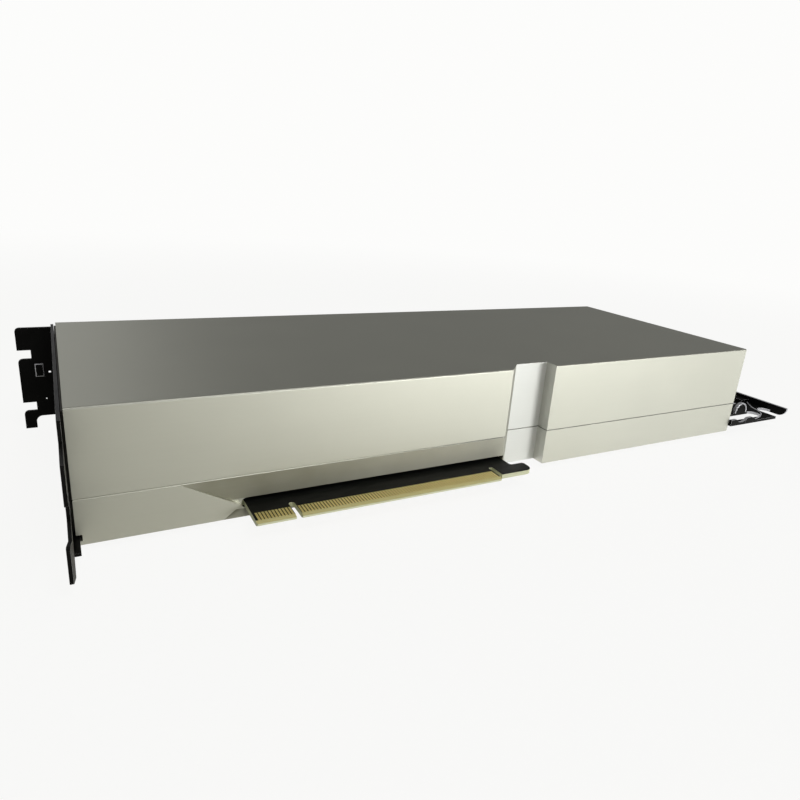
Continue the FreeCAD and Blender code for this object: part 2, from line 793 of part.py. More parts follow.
def cover_screws():
    """Six countersunk screws through the underside into the upper cover's posts."""
    tip = sheet + screw_grip
    return Part.makeCompound([sunk_screw(x, y, tip) for x, y in post_places()])


def heatsink_screws():
    """Eight countersunk screws through the underside and the board into the heatsink's legs."""
    tip = board_z1 + leg_screw_grip
    return Part.makeCompound([sunk_screw(x, y, tip) for x, y in leg_places()])


def extender_screws():
    """Four countersunk screws through the underside into the tail extender."""
    tip = board_z0 + extender_sheet
    return Part.makeCompound([sunk_screw(x, y, tip) for x, y in seat_places()])


def bracket_screws():
    """Three flat-headed screws that hold the bracket to the heatsink base."""
    return Part.makeCompound([bracket_screw(y) for y in bracket_screw_places()])


def extender_plate():
    """Flat plate of the tail extender, narrower where it is seated inside the shell."""
    z0 = board_z0
    z1 = z0 + extender_sheet
    reach_x = shell_x1 + extender_reach
    start_x = shell_x1 + extender_seat_gap
    half = shell_width / 2 + extender_front
    outside = box(start_x, reach_x, -half, half, z0, z1)
    inner = inner_back_y - extender_seat_gap
    seat = box(shell_x1 - extender_seat, start_x + EPS, -inner, inner, z0, z1)
    return fuse([outside, seat])


def extender_window(side):
    """Window beside one arm of the extender, with one round end."""
    z0 = board_z0 - EPS
    z1 = board_z0 + extender_sheet + EPS
    x0 = shell_x1 + window_start
    x1 = x0 + window_length
    near = side * (shell_width / 2 + extender_front - window_front)
    far = near - side * window_width
    low = min(near, far)
    radius = window_width / 2
    end = Part.makeCylinder(radius, z1 - z0, VEC(x1 - radius, low + radius, z0))
    return box(x0, x1 - radius, low, low + window_width, z0, z1).fuse(end)


def extender_corner_slot(side):
    """Relief slot in the plate along the end wall, open at one arm's outer edge."""
    z0 = board_z0 - EPS
    z1 = board_z0 + extender_sheet + extender_wall + EPS
    x1 = shell_x1 + extender_reach
    x0 = x1 - extender_sheet - extender_slot_width
    edge = side * (shell_width / 2 + extender_front)
    radius = extender_slot_width / 2
    end = edge - side * (extender_slot_length - radius)
    outer = edge + side * EPS
    slot = box(x0, x1 + EPS, min(end, outer), max(end, outer), z0, z1)
    return slot.fuse(Part.makeCylinder(radius, z1 - z0, VEC(x0 + radius, end, z0)))


def extender_end_wall():
    """Wall along the tail that rises from the plate, with its low corners rounded."""
    x1 = shell_x1 + extender_reach
    half = shell_width / 2 + extender_front
    z0 = board_z0
    z1 = z0 + extender_sheet + extender_wall
    wall = box(x1 - extender_sheet, x1, -half, half, z0, z1)

    def is_low_corner(edge):
        bounds = edge.BoundBox
        is_through = bounds.XLength > extender_sheet - TOUCH
        return is_through and abs(bounds.YMin) > half - TOUCH and abs(bounds.Center.z - z0) < TOUCH

    radius = min(extender_corner, z1 - z0 - extender_corner_land)
    return round_edges(wall, radius, is_low_corner)


def extender_lip(side):
    """Short lip along one arm's outer edge, sloped at its tail end, with a round scoop in its top."""
    x0 = shell_x1 + extender_seat_gap
    x1 = x0 + extender_lip_length
    z0 = board_z0 + extender_sheet
    z1 = z0 + extender_lip_height
    outer = side * (shell_width / 2 + extender_front)
    root_z = z0 - extender_sheet / 2
    points = [VEC(x0, outer, root_z), VEC(x1 + extender_lip_slope, outer, root_z)]
    points += [VEC(x1, outer, z1), VEC(x0, outer, z1)]
    lip = polygon(points).extrude(VEC(0, -side * extender_sheet, 0))
    width = lip_scoop_width
    radius = (width ** 2 / 4 + lip_scoop_depth ** 2) / (2 * lip_scoop_depth)
    middle = x0 + extender_lip_length / 2
    height = z1 - lip_scoop_depth + radius
    start = VEC(middle, outer + side * EPS, height)
    scoop = Part.makeCylinder(radius, extender_sheet + 2 * EPS, start, VEC(0, -side, 0))
    return lip.cut(scoop)


def extender_lug(side):
    """Upright lug with a round top behind one window."""
    z0 = board_z0 + extender_sheet / 2
    top = board_z0 + extender_sheet + lug_height
    near = side * (shell_width / 2 + extender_front - window_front - window_width)
    middle = shell_x1 + lug_from_shell
    radius = lug_width / 2
    low = min(near, near - side * extender_sheet)
    arch = Part.makeCylinder(radius, extender_sheet, VEC(middle, low, top - radius), VEC(0, 1, 0))
    foot = box(middle - radius, middle + radius, low, low + extender_sheet, z0, top - radius)
    far = low + extender_sheet + EPS
    below = box(middle - lug_width, middle + lug_width, low - EPS, far, z0 - lug_width, z0)
    return fuse([foot, arch]).cut(below)


def tail_extender():
    """Black pressed frame that carries the card's tail in a full-length guide."""
    plate = extender_plate()
    middle_x0 = shell_x1 + window_start
    middle_x1 = middle_x0 + centre_window_length
    arm = shell_width / 2 - window_front - window_width - centre_window_gap
    strut = extender_step / 2
    z0 = board_z0 - EPS
    z1 = board_z0 + extender_sheet + EPS
    windows = [extender_window(side) for side in (-1, 1)]
    windows += [box(middle_x0, middle_x1, *span, z0, z1) for span in ((-arm, -strut), (strut, arm))]
    plate = cut(plate, windows)
    x1 = shell_x1 + extender_reach
    step_z1 = board_z0 + extender_sheet + extender_step_rise
    step = box(x1 - extender_step, x1, -arm, arm, board_z0 + extender_sheet / 2, step_z1)
    slots = [extender_corner_slot(side) for side in (-1, 1)]
    parts = [cut(plate, slots), step, extender_end_wall()]
    parts += [extender_lip(side) for side in (-1, 1)]
    parts += [extender_lug(side) for side in (-1, 1)]
    frame = fuse(parts)
    hole_z1 = board_z0 + extender_sheet + EPS
    return cut(frame, [rod(x, y, z0, hole_z1, screw_radius) for x, y in seat_places()])


def build():
    """Make every node and write it."""
    os.makedirs(OUT_DIR, exist_ok=True)
    save("upper_cover", upper_cover())
    save("lower_cover", lower_cover())
    save("circuit_board", circuit_board())
    save("edge_contacts_component_side", edge_contacts(board_z1))
    save("edge_contacts_solder_side", edge_contacts(board_z0 - contact_plating))
    save("io_bracket", io_bracket())
    save("bracket_screws", bracket_screws())
    save("heatsink_base", heatsink_base())
    save("vapour_chamber", vapour_chamber())
    save("heatsink_fins", heatsink_fins())
    save("heatsink_screws", heatsink_screws())
    save("processor_substrate", processor_substrate())
    save("package_stiffener", package_stiffener())
    save("processor_die", processor_die())
    save("memory_stacks", memory_stacks())
    save("thermal_paste", thermal_paste())
    save("power_inductors", power_inductors())
    save("power_stages", power_stages())
    save("thermal_pads", thermal_pads())
    save("bulk_capacitors", bulk_capacitors())
    save("board_controllers", board_controllers())
    save("power_connector", power_connector())
    save("power_pins", power_pins())
    save("insulating_film", insulating_film())
    save("cover_screws", cover_screws())
    save("tail_extender", tail_extender())
    save("extender_screws", extender_screws())


build()
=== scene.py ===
"""Looks of a passive dual-slot accelerator card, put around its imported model.

Lengths are in metres. X runs from the bracket to the tail, Y from the edge connector to the far
long edge, and Z up through the component side. The origin is the middle of the shell's underside.
"""

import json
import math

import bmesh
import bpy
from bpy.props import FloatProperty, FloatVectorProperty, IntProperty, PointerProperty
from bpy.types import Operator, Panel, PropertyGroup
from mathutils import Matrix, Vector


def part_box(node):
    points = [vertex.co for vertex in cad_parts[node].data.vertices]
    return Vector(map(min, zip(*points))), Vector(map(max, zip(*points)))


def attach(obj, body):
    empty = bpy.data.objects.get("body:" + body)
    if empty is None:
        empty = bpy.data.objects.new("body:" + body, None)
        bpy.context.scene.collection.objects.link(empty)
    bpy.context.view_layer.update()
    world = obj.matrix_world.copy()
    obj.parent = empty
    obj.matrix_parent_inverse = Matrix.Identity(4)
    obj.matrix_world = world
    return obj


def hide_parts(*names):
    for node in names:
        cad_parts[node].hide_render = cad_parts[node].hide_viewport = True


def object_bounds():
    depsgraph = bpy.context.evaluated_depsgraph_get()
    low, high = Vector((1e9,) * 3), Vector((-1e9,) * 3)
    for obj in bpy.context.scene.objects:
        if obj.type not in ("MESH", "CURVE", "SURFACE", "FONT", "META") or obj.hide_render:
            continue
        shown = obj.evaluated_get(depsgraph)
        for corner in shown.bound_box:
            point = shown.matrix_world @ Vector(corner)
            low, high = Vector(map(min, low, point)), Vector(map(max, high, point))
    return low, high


bl_info = {
    "name": "Passive accelerator card",
    "version": (1, 0, 0),
    "blender": (4, 5, 0),
    "location": "3D View > Sidebar > Card",
    "description": "Finishes, softened edges, screws and stage of a passive accelerator card",
    "category": "Object",
}

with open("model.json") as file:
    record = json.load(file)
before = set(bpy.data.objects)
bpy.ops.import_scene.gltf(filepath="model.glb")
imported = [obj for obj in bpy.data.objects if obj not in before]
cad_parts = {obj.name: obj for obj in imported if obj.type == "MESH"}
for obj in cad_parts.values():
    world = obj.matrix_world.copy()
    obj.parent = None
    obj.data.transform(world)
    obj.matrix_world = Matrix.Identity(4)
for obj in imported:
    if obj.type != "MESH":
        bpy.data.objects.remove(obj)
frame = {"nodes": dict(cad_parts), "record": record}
CAD_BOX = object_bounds()

BODY = "root"
MM = 0.001
SHARP = math.radians(30)  # edges that turn by more than this are sharp
FLAT = math.radians(1)  # faces that turn by less than this are one face
FIT = 0.02 * MM  # places closer than this are the same place

# How much of an axis the normal of a face holds
LEANING = 0.05  # an upright face has less than this of Z
STEEP = 0.6  # a steep slope has less than this of Z
FACING = 0.9  # a face that looks along an axis has more than this
SQUARE_ON = 0.99  # a face that looks straight along it has more than this

# Stretches along the card over which a finish changes
GROOVE_TIP = (-112 * MM, -98 * MM)  # the relief's painted shade darkens from its point,
GROOVE_REST = (-98 * MM, -5 * MM)  # and gets lighter again beside the tongue
SEAM_SHADOW_FADE = (-60 * MM, 10 * MM)  # the seam darkens with the painted shadow of its gap


# Sizes and colours that a user would change

def length(description, default):
    """A length property in metres."""
    return FloatProperty(description=description, default=default, min=0.0, precision=5, unit="LENGTH")


def colour(description, default):
    """A colour property, in linear light."""
    return FloatVectorProperty(description=description, default=default, min=0.0, max=1.0, size=3,
                               subtype="COLOR")


def share(description, default):
    """A property from 0 to 1."""
    return FloatProperty(description=description, default=default, min=0.0, max=1.0, subtype="FACTOR")


def angle(description, degrees):
    """An angle property, written in degrees."""
    return FloatProperty(description=description, default=math.radians(degrees), subtype="ANGLE")


class CoverSettings(PropertyGroup):
    """The two halves of the shell."""
    edge_width: length("Width of the broken edges of both covers", 0.22 * MM)
    metal: colour("Satin aluminium of the shell", (0.495, 0.497, 0.430))
    # Painted highlight: the covers' broken edges and the notch's tail wall get this brighter, glossier metal
    edge_highlight_metal: colour("Brighter metal on the broken edges", (0.62, 0.62, 0.58))
    seam_width: length("Width of the broken edges along the seam", 0.2 * MM)
    # Painted shadow of the gap between the covers, in the seam towards the tail
    seam_painted_shadow: colour("Dusty metal in the seam between the covers", (0.32, 0.32, 0.29))
    notch_metal: colour("Paler blasted metal on the floor of the latch's notch", (0.68, 0.69, 0.65))
    # The relief's colour goes from a painted shade at its bracket end to this duller metal beside the tongue
    relief_metal: colour("Duller metal in the relief beside the tongue", (0.52, 0.515, 0.43))
    relief_painted_shade: colour("The relief's metal at its bracket end", (0.25, 0.245, 0.18))
    roughness: share("How matt the satin metal is", 0.47)


class BoardSettings(PropertyGroup):
    """The circuit board and its contacts."""
    mask: colour("Black lacquer on both faces of the board", (0.0065, 0.007, 0.006))
    core: colour("Bare cut edge of the board", (0.62, 0.63, 0.42))
    bevel: colour("Ground bevel of the edge connector", (0.62, 0.56, 0.25))
    gold: colour("Plating of the edge contacts", (0.90, 0.75, 0.33))


class BracketSettings(PropertyGroup):
    """The black coated sheet metal: bracket and tail extender."""
    edge_width: length("Width of the bracket's broken edges", 0.2 * MM)
    pad_depth: length("Face of the flange's pressed pad from the flange's outer face", 1.4 * MM)
    pad_edge: length("Width of the pressed pad's rounded edges", 0.35 * MM)
    gasket_width: length("Width of the foam frame behind the bracket", 2.5 * MM)
    gasket_depth: length("How far the foam stands out of the shell", 0.6 * MM)
    coat: colour("Black coat of the bracket and the tail extender", (0.0035, 0.0034, 0.003))
    # Painted highlight along the bracket's edges
    painted_edge_highlight: colour("Worn coat along the bracket's edges", (0.45, 0.45, 0.44))
    # Dark foam filling the gap behind the bracket, standing in for the shade in that gap
    gasket: colour("Conductive foam between the bracket and the shell", (0.035, 0.032, 0.024))
    sheet: length("Thickness of the extender's sheet", 1.2 * MM)
    bead_radius: length("Radius of the beads on the extender", 0.32 * MM)
    lug_place: length("Middle of the extender's lug from the shell's tail end", 20.8 * MM)
    lug_face: length("Outer face of the lug from the card's middle line", 41.3 * MM)
    lug_radius: length("Radius of the bead on the lug's face", 3.95 * MM)
    lug_centre: length("Middle of the lug's arch over the sheet's top face", 0.7 * MM)
    # Painted highlight: the sheared edges, the pad's rim and the extender's beads get this bright metal
    cut_edge: colour("Bare metal where the sheet was sheared", (0.62, 0.62, 0.64))


class CoolerSettings(PropertyGroup):
    """Base plate, fins and vapour chamber."""
    edge_width: length("Width of the base plate's broken edges", 0.15 * MM)
    aluminium: colour("Machined base plate", (0.66, 0.665, 0.66))
    fin: colour("Thin rolled sheet of the fins", (0.72, 0.73, 0.735))
    copper: colour("Skin of the vapour chamber", (0.74, 0.40, 0.25))


class PackageSettings(PropertyGroup):
    """The processor package."""
    edge_width: length("Width of the soft edges of the package's parts", 0.12 * MM)
    carrier: colour("Green carrier of the package", (0.012, 0.07, 0.032))
    silicon: colour("Polished back of the processor", (0.20, 0.21, 0.24))
    nickel: colour("Plating of the frame round the package", (0.6, 0.58, 0.53))
    mould: colour("Black moulding compound of the memory", (0.016, 0.016, 0.017))
    paste: colour("Thermal paste on the processor", (0.42, 0.43, 0.42))


class PowerSettings(PropertyGroup):
    """The power parts, the control chips and the power connector."""
    chip_edge: length("Width of the soft edges of the chips", 0.08 * MM)
    capacitor_edge: length("Width of the soft edges of the capacitors", 0.2 * MM)
    inductor_edge: length("Width of the soft edges of the inductors", 0.35 * MM)
    connector_edge: length("Width of the soft edges of the connector", 0.12 * MM)
    pin_bevel: length("Width of the bevel at the tips of the pins", 0.25 * MM)
    mould: colour("Black compound of the chips and the connector", (0.016, 0.016, 0.017))
    powder: colour("Pressed powder of the inductors", (0.09, 0.09, 0.088))
    ochre: colour("Compound of the bulk capacitors", (0.30, 0.17, 0.035))
    pad: colour("Soft pads between the parts and the cooler", (0.50, 0.36, 0.34))
    film: colour("Insulating film under the board", (0.02, 0.02, 0.021))
    tin: colour("Plating of the pins", (0.70, 0.69, 0.66))


class ScrewSettings(PropertyGroup):
    """The countersunk screws."""
    recess_width: length("Width across the corners of the driver's recess", 2.3 * MM)
    recess_depth: length("Depth of the driver's recess", 0.75 * MM)
    head_land: length("Straight rim of the countersunk head", 0.18 * MM)
    rim_edge: length("Width of the broken edge round the head", 0.07 * MM)
    shank: share("Diameter of the shank as a share of the head's", 0.57)
    round_sides: IntProperty(description="Sides of the round head", default=32, min=8, max=64)
    steel: colour("Zinc plated steel", (0.56, 0.56, 0.54))


class StageSettings(PropertyGroup):
    """Floor, light and camera."""
    background: colour("Colour of the floor and the backdrop", (0.975, 0.975, 0.965))
    dome: share("Strength of the plain light from above", 0.20)
    warm_floor: colour("Colour of the floor where the metal near the bracket shows it", (1.0, 0.95, 0.76))
    floor_in_reflection: FloatVectorProperty(
        description="How white the metal shows it at the bracket and the tail", size=2,
        default=(0.24, 1.0), min=0.0, max=1.0)
    camera_place: FloatVectorProperty(
        description="Where the camera stands", size=3, default=(-0.13268, -0.21544, 0.09579),
        subtype="TRANSLATION", unit="LENGTH")
    heading: angle("Turn of the camera from +Y towards +X", 29.36)
    down: angle("How far the camera looks down", 18.63)
    roll: angle("How far the camera leans", 4.26)
    lens: FloatProperty(description="Focal length on a 36 mm sensor", default=28.46, unit="CAMERA", min=1.0)


# Materials

class Wire:
    """One value in a material. A sum written on it adds the Math nodes for it."""

    def __init__(self, finish, socket):
        self.finish = finish
        self.socket = socket

    def math(self, operation, *values):
        """One Math node on the values."""
        return self.finish.node("Math", {"operation": operation}, dict(enumerate(values)))

    def __add__(self, other):
        return self.math("ADD", self, other)

    def __sub__(self, other):
        return self.math("SUBTRACT", self, other)

    def __rsub__(self, other):
        return self.math("SUBTRACT", other, self)

    def __mul__(self, other):
        return self.math("MULTIPLY", self, other)

    def larger(self, other):
        """The larger of two values."""
        return self.math("MAXIMUM", self, other)

    __radd__ = __add__
    __rmul__ = __mul__


class Finish:
    """A material that is being put together. Its patterns follow the object's own coordinates.

    A world is put together in the same way, and its coordinates are directions.
    """

    def __init__(self, name, holder=None):
        self.holder = holder or bpy.data.materials.new(name)
        self.holder.use_nodes = True
        self.tree = self.holder.node_tree
        self.tree.nodes.clear()
        self.place = self.node("TexCoord", output="Generated" if holder else "Object")

    def node(self, kind, settings=None, inputs=None, output=0):
        """Adds a node: its settings first, then its sockets' values or links. Gives one of its outputs."""
        made = self.tree.nodes.new("ShaderNode" + kind)
        for name, value in (settings or {}).items():
            if name == "stops":
                self.set_stops(made.color_ramp.elements, value)
            else:
                setattr(made, name, value)
        for key, value in (inputs or {}).items():
            if isinstance(value, Wire):
                self.tree.links.new(value.socket, made.inputs[key])
            else:
                made.inputs[key].default_value = value
        return Wire(self, made.outputs[output])

    @staticmethod
    def set_stops(elements, stops):
        """Gives a ramp its stops, as pairs of a place and a grey level."""
        while len(elements) < len(stops):
            elements.new(1.0)
        for element, (place, grey) in zip(elements, stops):
            element.position = place
            element.color = (grey, grey, grey, 1.0)

    def stretched(self, size, stretch=(1, 1, 1)):
        """The object's coordinates, scaled so that one unit is the given size in metres."""
        scale = [1.0 / (size * axis) for axis in stretch]
        return self.node("Mapping", None, {"Vector": self.place, "Scale": scale})

    def noise(self, size, detail=2.0, stretch=(1, 1, 1)):
        """Soft random value from 0 to 1, in patches of about the given size in metres."""
        inputs = {"Vector": self.stretched(size, stretch), "Scale": 1.0, "Detail": detail}
        return self.node("TexNoise", None, inputs, "Fac")

    def cells(self, size):
        """Distance to the nearest of many scattered points, in units of the given size."""
        inputs = {"Vector": self.stretched(size), "Scale": 1.0}
        return self.node("TexVoronoi", None, inputs, "Distance")

    def waves(self, direction, size, distortion=0.0, kind="BANDS"):
        """Soft bands or rings from 0 to 1, about three of them to the given size in metres."""
        settings = {"wave_type": kind, kind.lower() + "_direction": direction}
        inputs = {"Vector": self.stretched(size), "Scale": 1.0, "Distortion": distortion}
        return self.node("TexWave", settings, inputs, "Fac")

    def blend(self, value, start, end, first=0.0, last=1.0):
        """Goes softly from one number to another while the value goes from start to end."""
        inputs = {"Value": value, "From Min": start, "From Max": end, "To Min": first, "To Max": last}
        return self.node("MapRange", {"interpolation_type": "SMOOTHSTEP"}, inputs)

    def along_x(self, start, end):
        """Goes softly from 0 to 1 between two places along the card."""
        return self.blend(self.node("SeparateXYZ", None, {0: self.place}, "X"), start, end)

    def ramp(self, value, *stops):
        """The value led through a ramp of grey levels."""
        return self.node("ValToRGB", {"stops": stops}, {"Fac": value})

    def mix(self, factor, first, second):
        """A colour between two others."""
        inputs = {0: factor, 6: self.rgba(first), 7: self.rgba(second)}
        return self.node("Mix", {"data_type": "RGBA"}, inputs, 2)

    @staticmethod
    def rgba(value):
        """A colour with its alpha, or a link as it is."""
        return value if isinstance(value, Wire) else (*value, 1.0)

    def tint(self, base, amount, value):
        """The colour made darker and lighter by a share as the value goes from 0 to 1."""
        dark = [level * (1 - amount) for level in base]
        light = [min(1.0, level * (1 + amount)) for level in base]
        return self.mix(value, dark, light)

    def bump(self, height, depth):
        """Surface direction of a relief of the given depth in metres."""
        return self.node("Bump", None, {"Height": height, "Distance": depth})

    def surface(self, **sockets):
        """Ends the material with one shader. A socket's name is written with _ for each space."""
        inputs = {name.replace("_", " "): value for name, value in sockets.items()}
        return self.end(self.node("BsdfPrincipled", None, inputs))

    def end(self, shader, kind="OutputMaterial"):
        """Leads a shader to the output and gives the finished material or world."""
        output = self.tree.nodes.new("ShaderNode" + kind)
        self.tree.links.new(shader.socket, output.inputs["Surface"])
        return self.holder


def satin_metal(name, metal, roughness, metallic=1.0):
    """Blasted and clear anodised aluminium: fine even grain, faint cloudiness, faint rolling lines."""
    finish = Finish(name)
    cloud = finish.noise(22 * MM, 3.0)
    lines = finish.noise(0.5 * MM, 1.0, (60, 1, 1))
    pits = finish.noise(0.22 * MM, 1.0)
    return finish.surface(
        Base_Color=finish.tint(metal, 0.05, cloud * 0.7 + lines * 0.3),
        Metallic=metallic,
        Roughness=cloud * 0.05 + lines * 0.03 + pits * 0.04 + (roughness - 0.06),
        Normal=finish.bump(pits + lines * 0.25, 0.009 * MM),
    )


def relief_metal(name, shade, metal, roughness):
    """Duller machined metal beside the tongue with painted shade: darkest near the groove's point, lighter
    beside the tongue, with streaks along it.
    """
    finish = Finish(name)
    streaks = finish.noise(1.2 * MM, 3.0, (12, 1, 1))
    cloud = finish.noise(9 * MM)
    tip = 1 - finish.along_x(*GROOVE_TIP)
    # painted shade: dark from the groove's point, lighter beside the tongue; cloud and streaks vary the tone
    light = finish.along_x(*GROOVE_REST) * 0.8 + tip * 0.6 + cloud * 0.3 + streaks * 0.1 - 0.1
    return finish.surface(
        Base_Color=finish.mix(light, shade, metal),
        Metallic=0.5,
        Roughness=cloud * 0.06 + streaks * 0.06 + (roughness - 0.06),
        Normal=finish.bump(streaks, 0.01 * MM),
    )


def seam_metal(name, light, dark, roughness):
    """The seam's satin metal with the shadow of its gap painted in: plain at the bracket end and darker
    towards the tail.
    """
    finish = Finish(name)
    # painted shadow of the seam's gap, growing towards the tail
    gap_shadow = finish.along_x(*SEAM_SHADOW_FADE)
    specks = finish.noise(0.8 * MM)
    return finish.surface(
        Base_Color=finish.mix(gap_shadow, light, dark),
        Metallic=1.0,
        Roughness=specks * 0.15 + (roughness - 0.07),
        Normal=finish.bump(specks, 0.006 * MM),
    )


def coated_metal(name, coat, roughness=0.34):
    """Black baked coat on sheet metal, with a fine orange-peel and rubbed patches."""
    finish = Finish(name)
    peel = finish.noise(0.35 * MM)
    rubbed = finish.ramp(finish.noise(7 * MM, 4.0), (0.45, 0.0), (0.75, 1.0))
    worn = [level * 2.2 + 0.002 for level in coat]
    return finish.surface(
        Base_Color=finish.mix(rubbed * 0.6, coat, worn),
        Roughness=peel * 0.10 + rubbed * 0.08 + (roughness - 0.07),
        Specular_IOR_Level=0.07,
        Normal=finish.bump(peel, 0.012 * MM),
    )


def sheared_edge_highlight(name, metal):
    """Sheared edge of sheet metal, painted bright as a highlight, with short upright drag lines."""
    finish = Finish(name)
    drag = finish.noise(0.12 * MM, 1.0, (1, 1, 8))
    patches = finish.noise(3 * MM)
    return finish.surface(
        Base_Color=finish.tint(metal, 0.16, drag * 0.5 + patches * 0.5),
        Metallic=0.55,
        Roughness=drag * 0.15 + 0.35,
        Normal=finish.bump(drag, 0.008 * MM),
    )


def machined_metal(name, metal, roughness=0.28, line=0.09 * MM, along=(40, 1, 1)):
    """Milled or rolled metal with fine lines one way."""
    finish = Finish(name)
    lines = finish.noise(line, 2.0, along)
    cloud = finish.noise(9 * MM)
    return finish.surface(
        Base_Color=finish.tint(metal, 0.07, lines * 0.6 + cloud * 0.4),
        Metallic=1.0,
        Roughness=lines * 0.10 + cloud * 0.08 + (roughness - 0.09),
        Normal=finish.bump(lines, 0.004 * MM),
    )


def plated_gold(name, gold):
    """Gold over nickel: lengthwise wipe marks from the slot's springs and a slight mottle."""
    finish = Finish(name)
    wipe = finish.noise(0.07 * MM, 1.0, (1, 30, 1))
    mottle = finish.noise(1.8 * MM, 3.0)
    return finish.surface(
        Base_Color=finish.tint(gold, 0.14, wipe * 0.4 + mottle * 0.6),
        Metallic=1.0,
        Roughness=wipe * 0.10 + mottle * 0.10 + 0.30,
        Normal=finish.bump(wipe, 0.003 * MM),
    )


def solder_mask(name, mask):
    """Black lacquer over woven glass and copper: the weave just shows as a slight relief."""
    finish = Finish(name)
    warp = finish.waves("X", 3.2 * MM, 0.6)
    weft = finish.waves("Y", 3.2 * MM, 0.6)
    peel = finish.noise(0.6 * MM)
    copper = finish.ramp(finish.noise(2.2 * MM, 1.0, (4, 1, 1)), (0.48, 0.0), (0.52, 1.0))
    lighter = [level * 1.9 + 0.002 for level in mask]
    return finish.surface(
        Base_Color=finish.mix(copper * 0.5 + peel * 0.3, mask, lighter),
        Roughness=peel * 0.12 + 0.42,
        Specular_IOR_Level=0.08,
        Normal=finish.bump(warp * 0.3 + weft * 0.3 + copper * 0.4, 0.010 * MM),
    )


def glass_epoxy(name, core):
    """Cut edge of the board: pale glass and resin in thin layers."""
    finish = Finish(name)
    layers = finish.waves("Z", 2.2 * MM)
    fibres = finish.noise(0.09 * MM, 2.0, (6, 6, 1))
    return finish.surface(
        Base_Color=finish.tint(core, 0.14, layers * 0.5 + fibres * 0.5),
        Roughness=fibres * 0.2 + 0.5,
        Normal=finish.bump(fibres, 0.010 * MM),
    )


def moulding(name, base, roughness=0.5, grain=0.10 * MM):
    """Matt moulded plastic or compound with a spark-eroded grain."""
    finish = Finish(name)
    pits = finish.cells(grain)
    cloud = finish.noise(2.5 * MM)
    return finish.surface(
        Base_Color=finish.tint(base, 0.18, cloud * 0.6 + pits * 0.4),
        Roughness=pits * 0.10 + cloud * 0.08 + (roughness - 0.09),
        Normal=finish.bump(pits, 0.008 * MM),
    )


def pressed_powder(name, base):
    """Pressed iron powder of the inductors: coarse grey specks under a thin lacquer."""
    finish = Finish(name)
    specks = finish.cells(0.22 * MM)
    grains = finish.ramp(specks, (0.15, 1.0), (0.55, 0.0))
    lighter = [level * 2.4 for level in base]
    return finish.surface(
        Base_Color=finish.mix(grains * 0.5, base, lighter),
        Metallic=0.2,
        Roughness=grains * 0.15 + 0.45,
        Normal=finish.bump(grains, 0.015 * MM),
    )


def polished_silicon(name, base):
    """Ground back of a die: nearly a mirror, with swirl marks."""
    finish = Finish(name)
    swirl = finish.waves("Z", 1.6 * MM, 2.0, "RINGS")
    cloud = finish.noise(6 * MM)
    return finish.surface(
        Base_Color=finish.tint(base, 0.12, cloud),
        Metallic=0.8,
        Roughness=swirl * 0.05 + cloud * 0.05 + 0.10,
        Normal=finish.bump(swirl, 0.001 * MM),
    )


def soft_paste(name, base, depth=0.05 * MM):
    """Paste or soft pad: dull, uneven, with trapped bubbles."""
    finish = Finish(name)
    lumps = finish.noise(1.4 * MM, 3.0)
    bubbles = finish.ramp(finish.cells(0.9 * MM), (0.05, 0.0), (0.16, 1.0))
    return finish.surface(
        Base_Color=finish.tint(base, 0.10, lumps),
        Roughness=lumps * 0.2 + 0.55,
        Normal=finish.bump(lumps * 0.5 + bubbles * 0.5, depth),
    )


def film_sheet(name, base):
    """Dark polyester film with a slight ripple and handling scuffs."""
    finish = Finish(name)
    ripple = finish.noise(14 * MM, 1.0)
    scuffs = finish.ramp(finish.noise(0.4 * MM, 3.0, (12, 1, 1)), (0.55, 0.0), (0.72, 1.0))
    return finish.surface(
        Base_Color=finish.tint(base, 0.2, scuffs),
        Roughness=scuffs * 0.25 + 0.16,
        Normal=finish.bump(ripple, 0.3 * MM),
    )


# Shaping

def select_only(piece):
    """Makes one piece the only selected and active object."""
    bpy.ops.object.select_all(action="DESELECT")
    piece.select_set(True)
    bpy.context.view_layer.objects.active = piece


def open_mesh(piece):
    """Opens one piece in edit mode, and no other."""
    select_only(piece)
    bpy.ops.object.mode_set(mode="EDIT")


def close_mesh():
    """Goes back to object mode with nothing selected in the mesh."""
    bpy.ops.mesh.select_all(action="DESELECT")
    bpy.ops.object.mode_set(mode="OBJECT")


def add_object(name, data):
    """A new object in the scene."""
    made = bpy.data.objects.new(name, data)
    bpy.context.scene.collection.objects.link(made)
    return made


def add_primitive(kind, name, place, scale=(1, 1, 1), **sizes):
    """A new simple shape, the only one selected, with its place and scale taken into its mesh."""
    bpy.ops.object.select_all(action="DESELECT")
    getattr(bpy.ops.mesh, "primitive_" + kind + "_add")(location=place, scale=scale, **sizes)
    made = bpy.context.object
    made.name = name
    bpy.ops.object.transform_apply(location=True, rotation=False, scale=True)
    return made


def apply_modifier(piece, kind, **settings):
    """Gives the selected piece a modifier and applies it."""
    bpy.ops.object.modifier_add(type=kind)
    modifier = piece.modifiers[-1]
    for name, value in settings.items():
        setattr(modifier, name, value)
    bpy.ops.object.modifier_apply(modifier=modifier.name)


def merged_copy(node, name, *materials):
    """A new piece with a node's shape, its loose triangles joined into clean faces, in new materials."""
    mesh = frame["nodes"][node].data.copy()
    mesh.name = name
    mesh.materials.clear()
    for material in materials:
        mesh.materials.append(material)
    piece = add_object(name, mesh)
    select_only(piece)
    if mesh.has_custom_normals:
        bpy.ops.mesh.customdata_custom_splitnormals_clear()
    open_mesh(piece)
    bpy.ops.mesh.select_all(action="SELECT")
    bpy.ops.mesh.remove_doubles(threshold=0.001 * MM)
    bpy.ops.mesh.dissolve_limited(angle_limit=FLAT)
    close_mesh()
    return piece


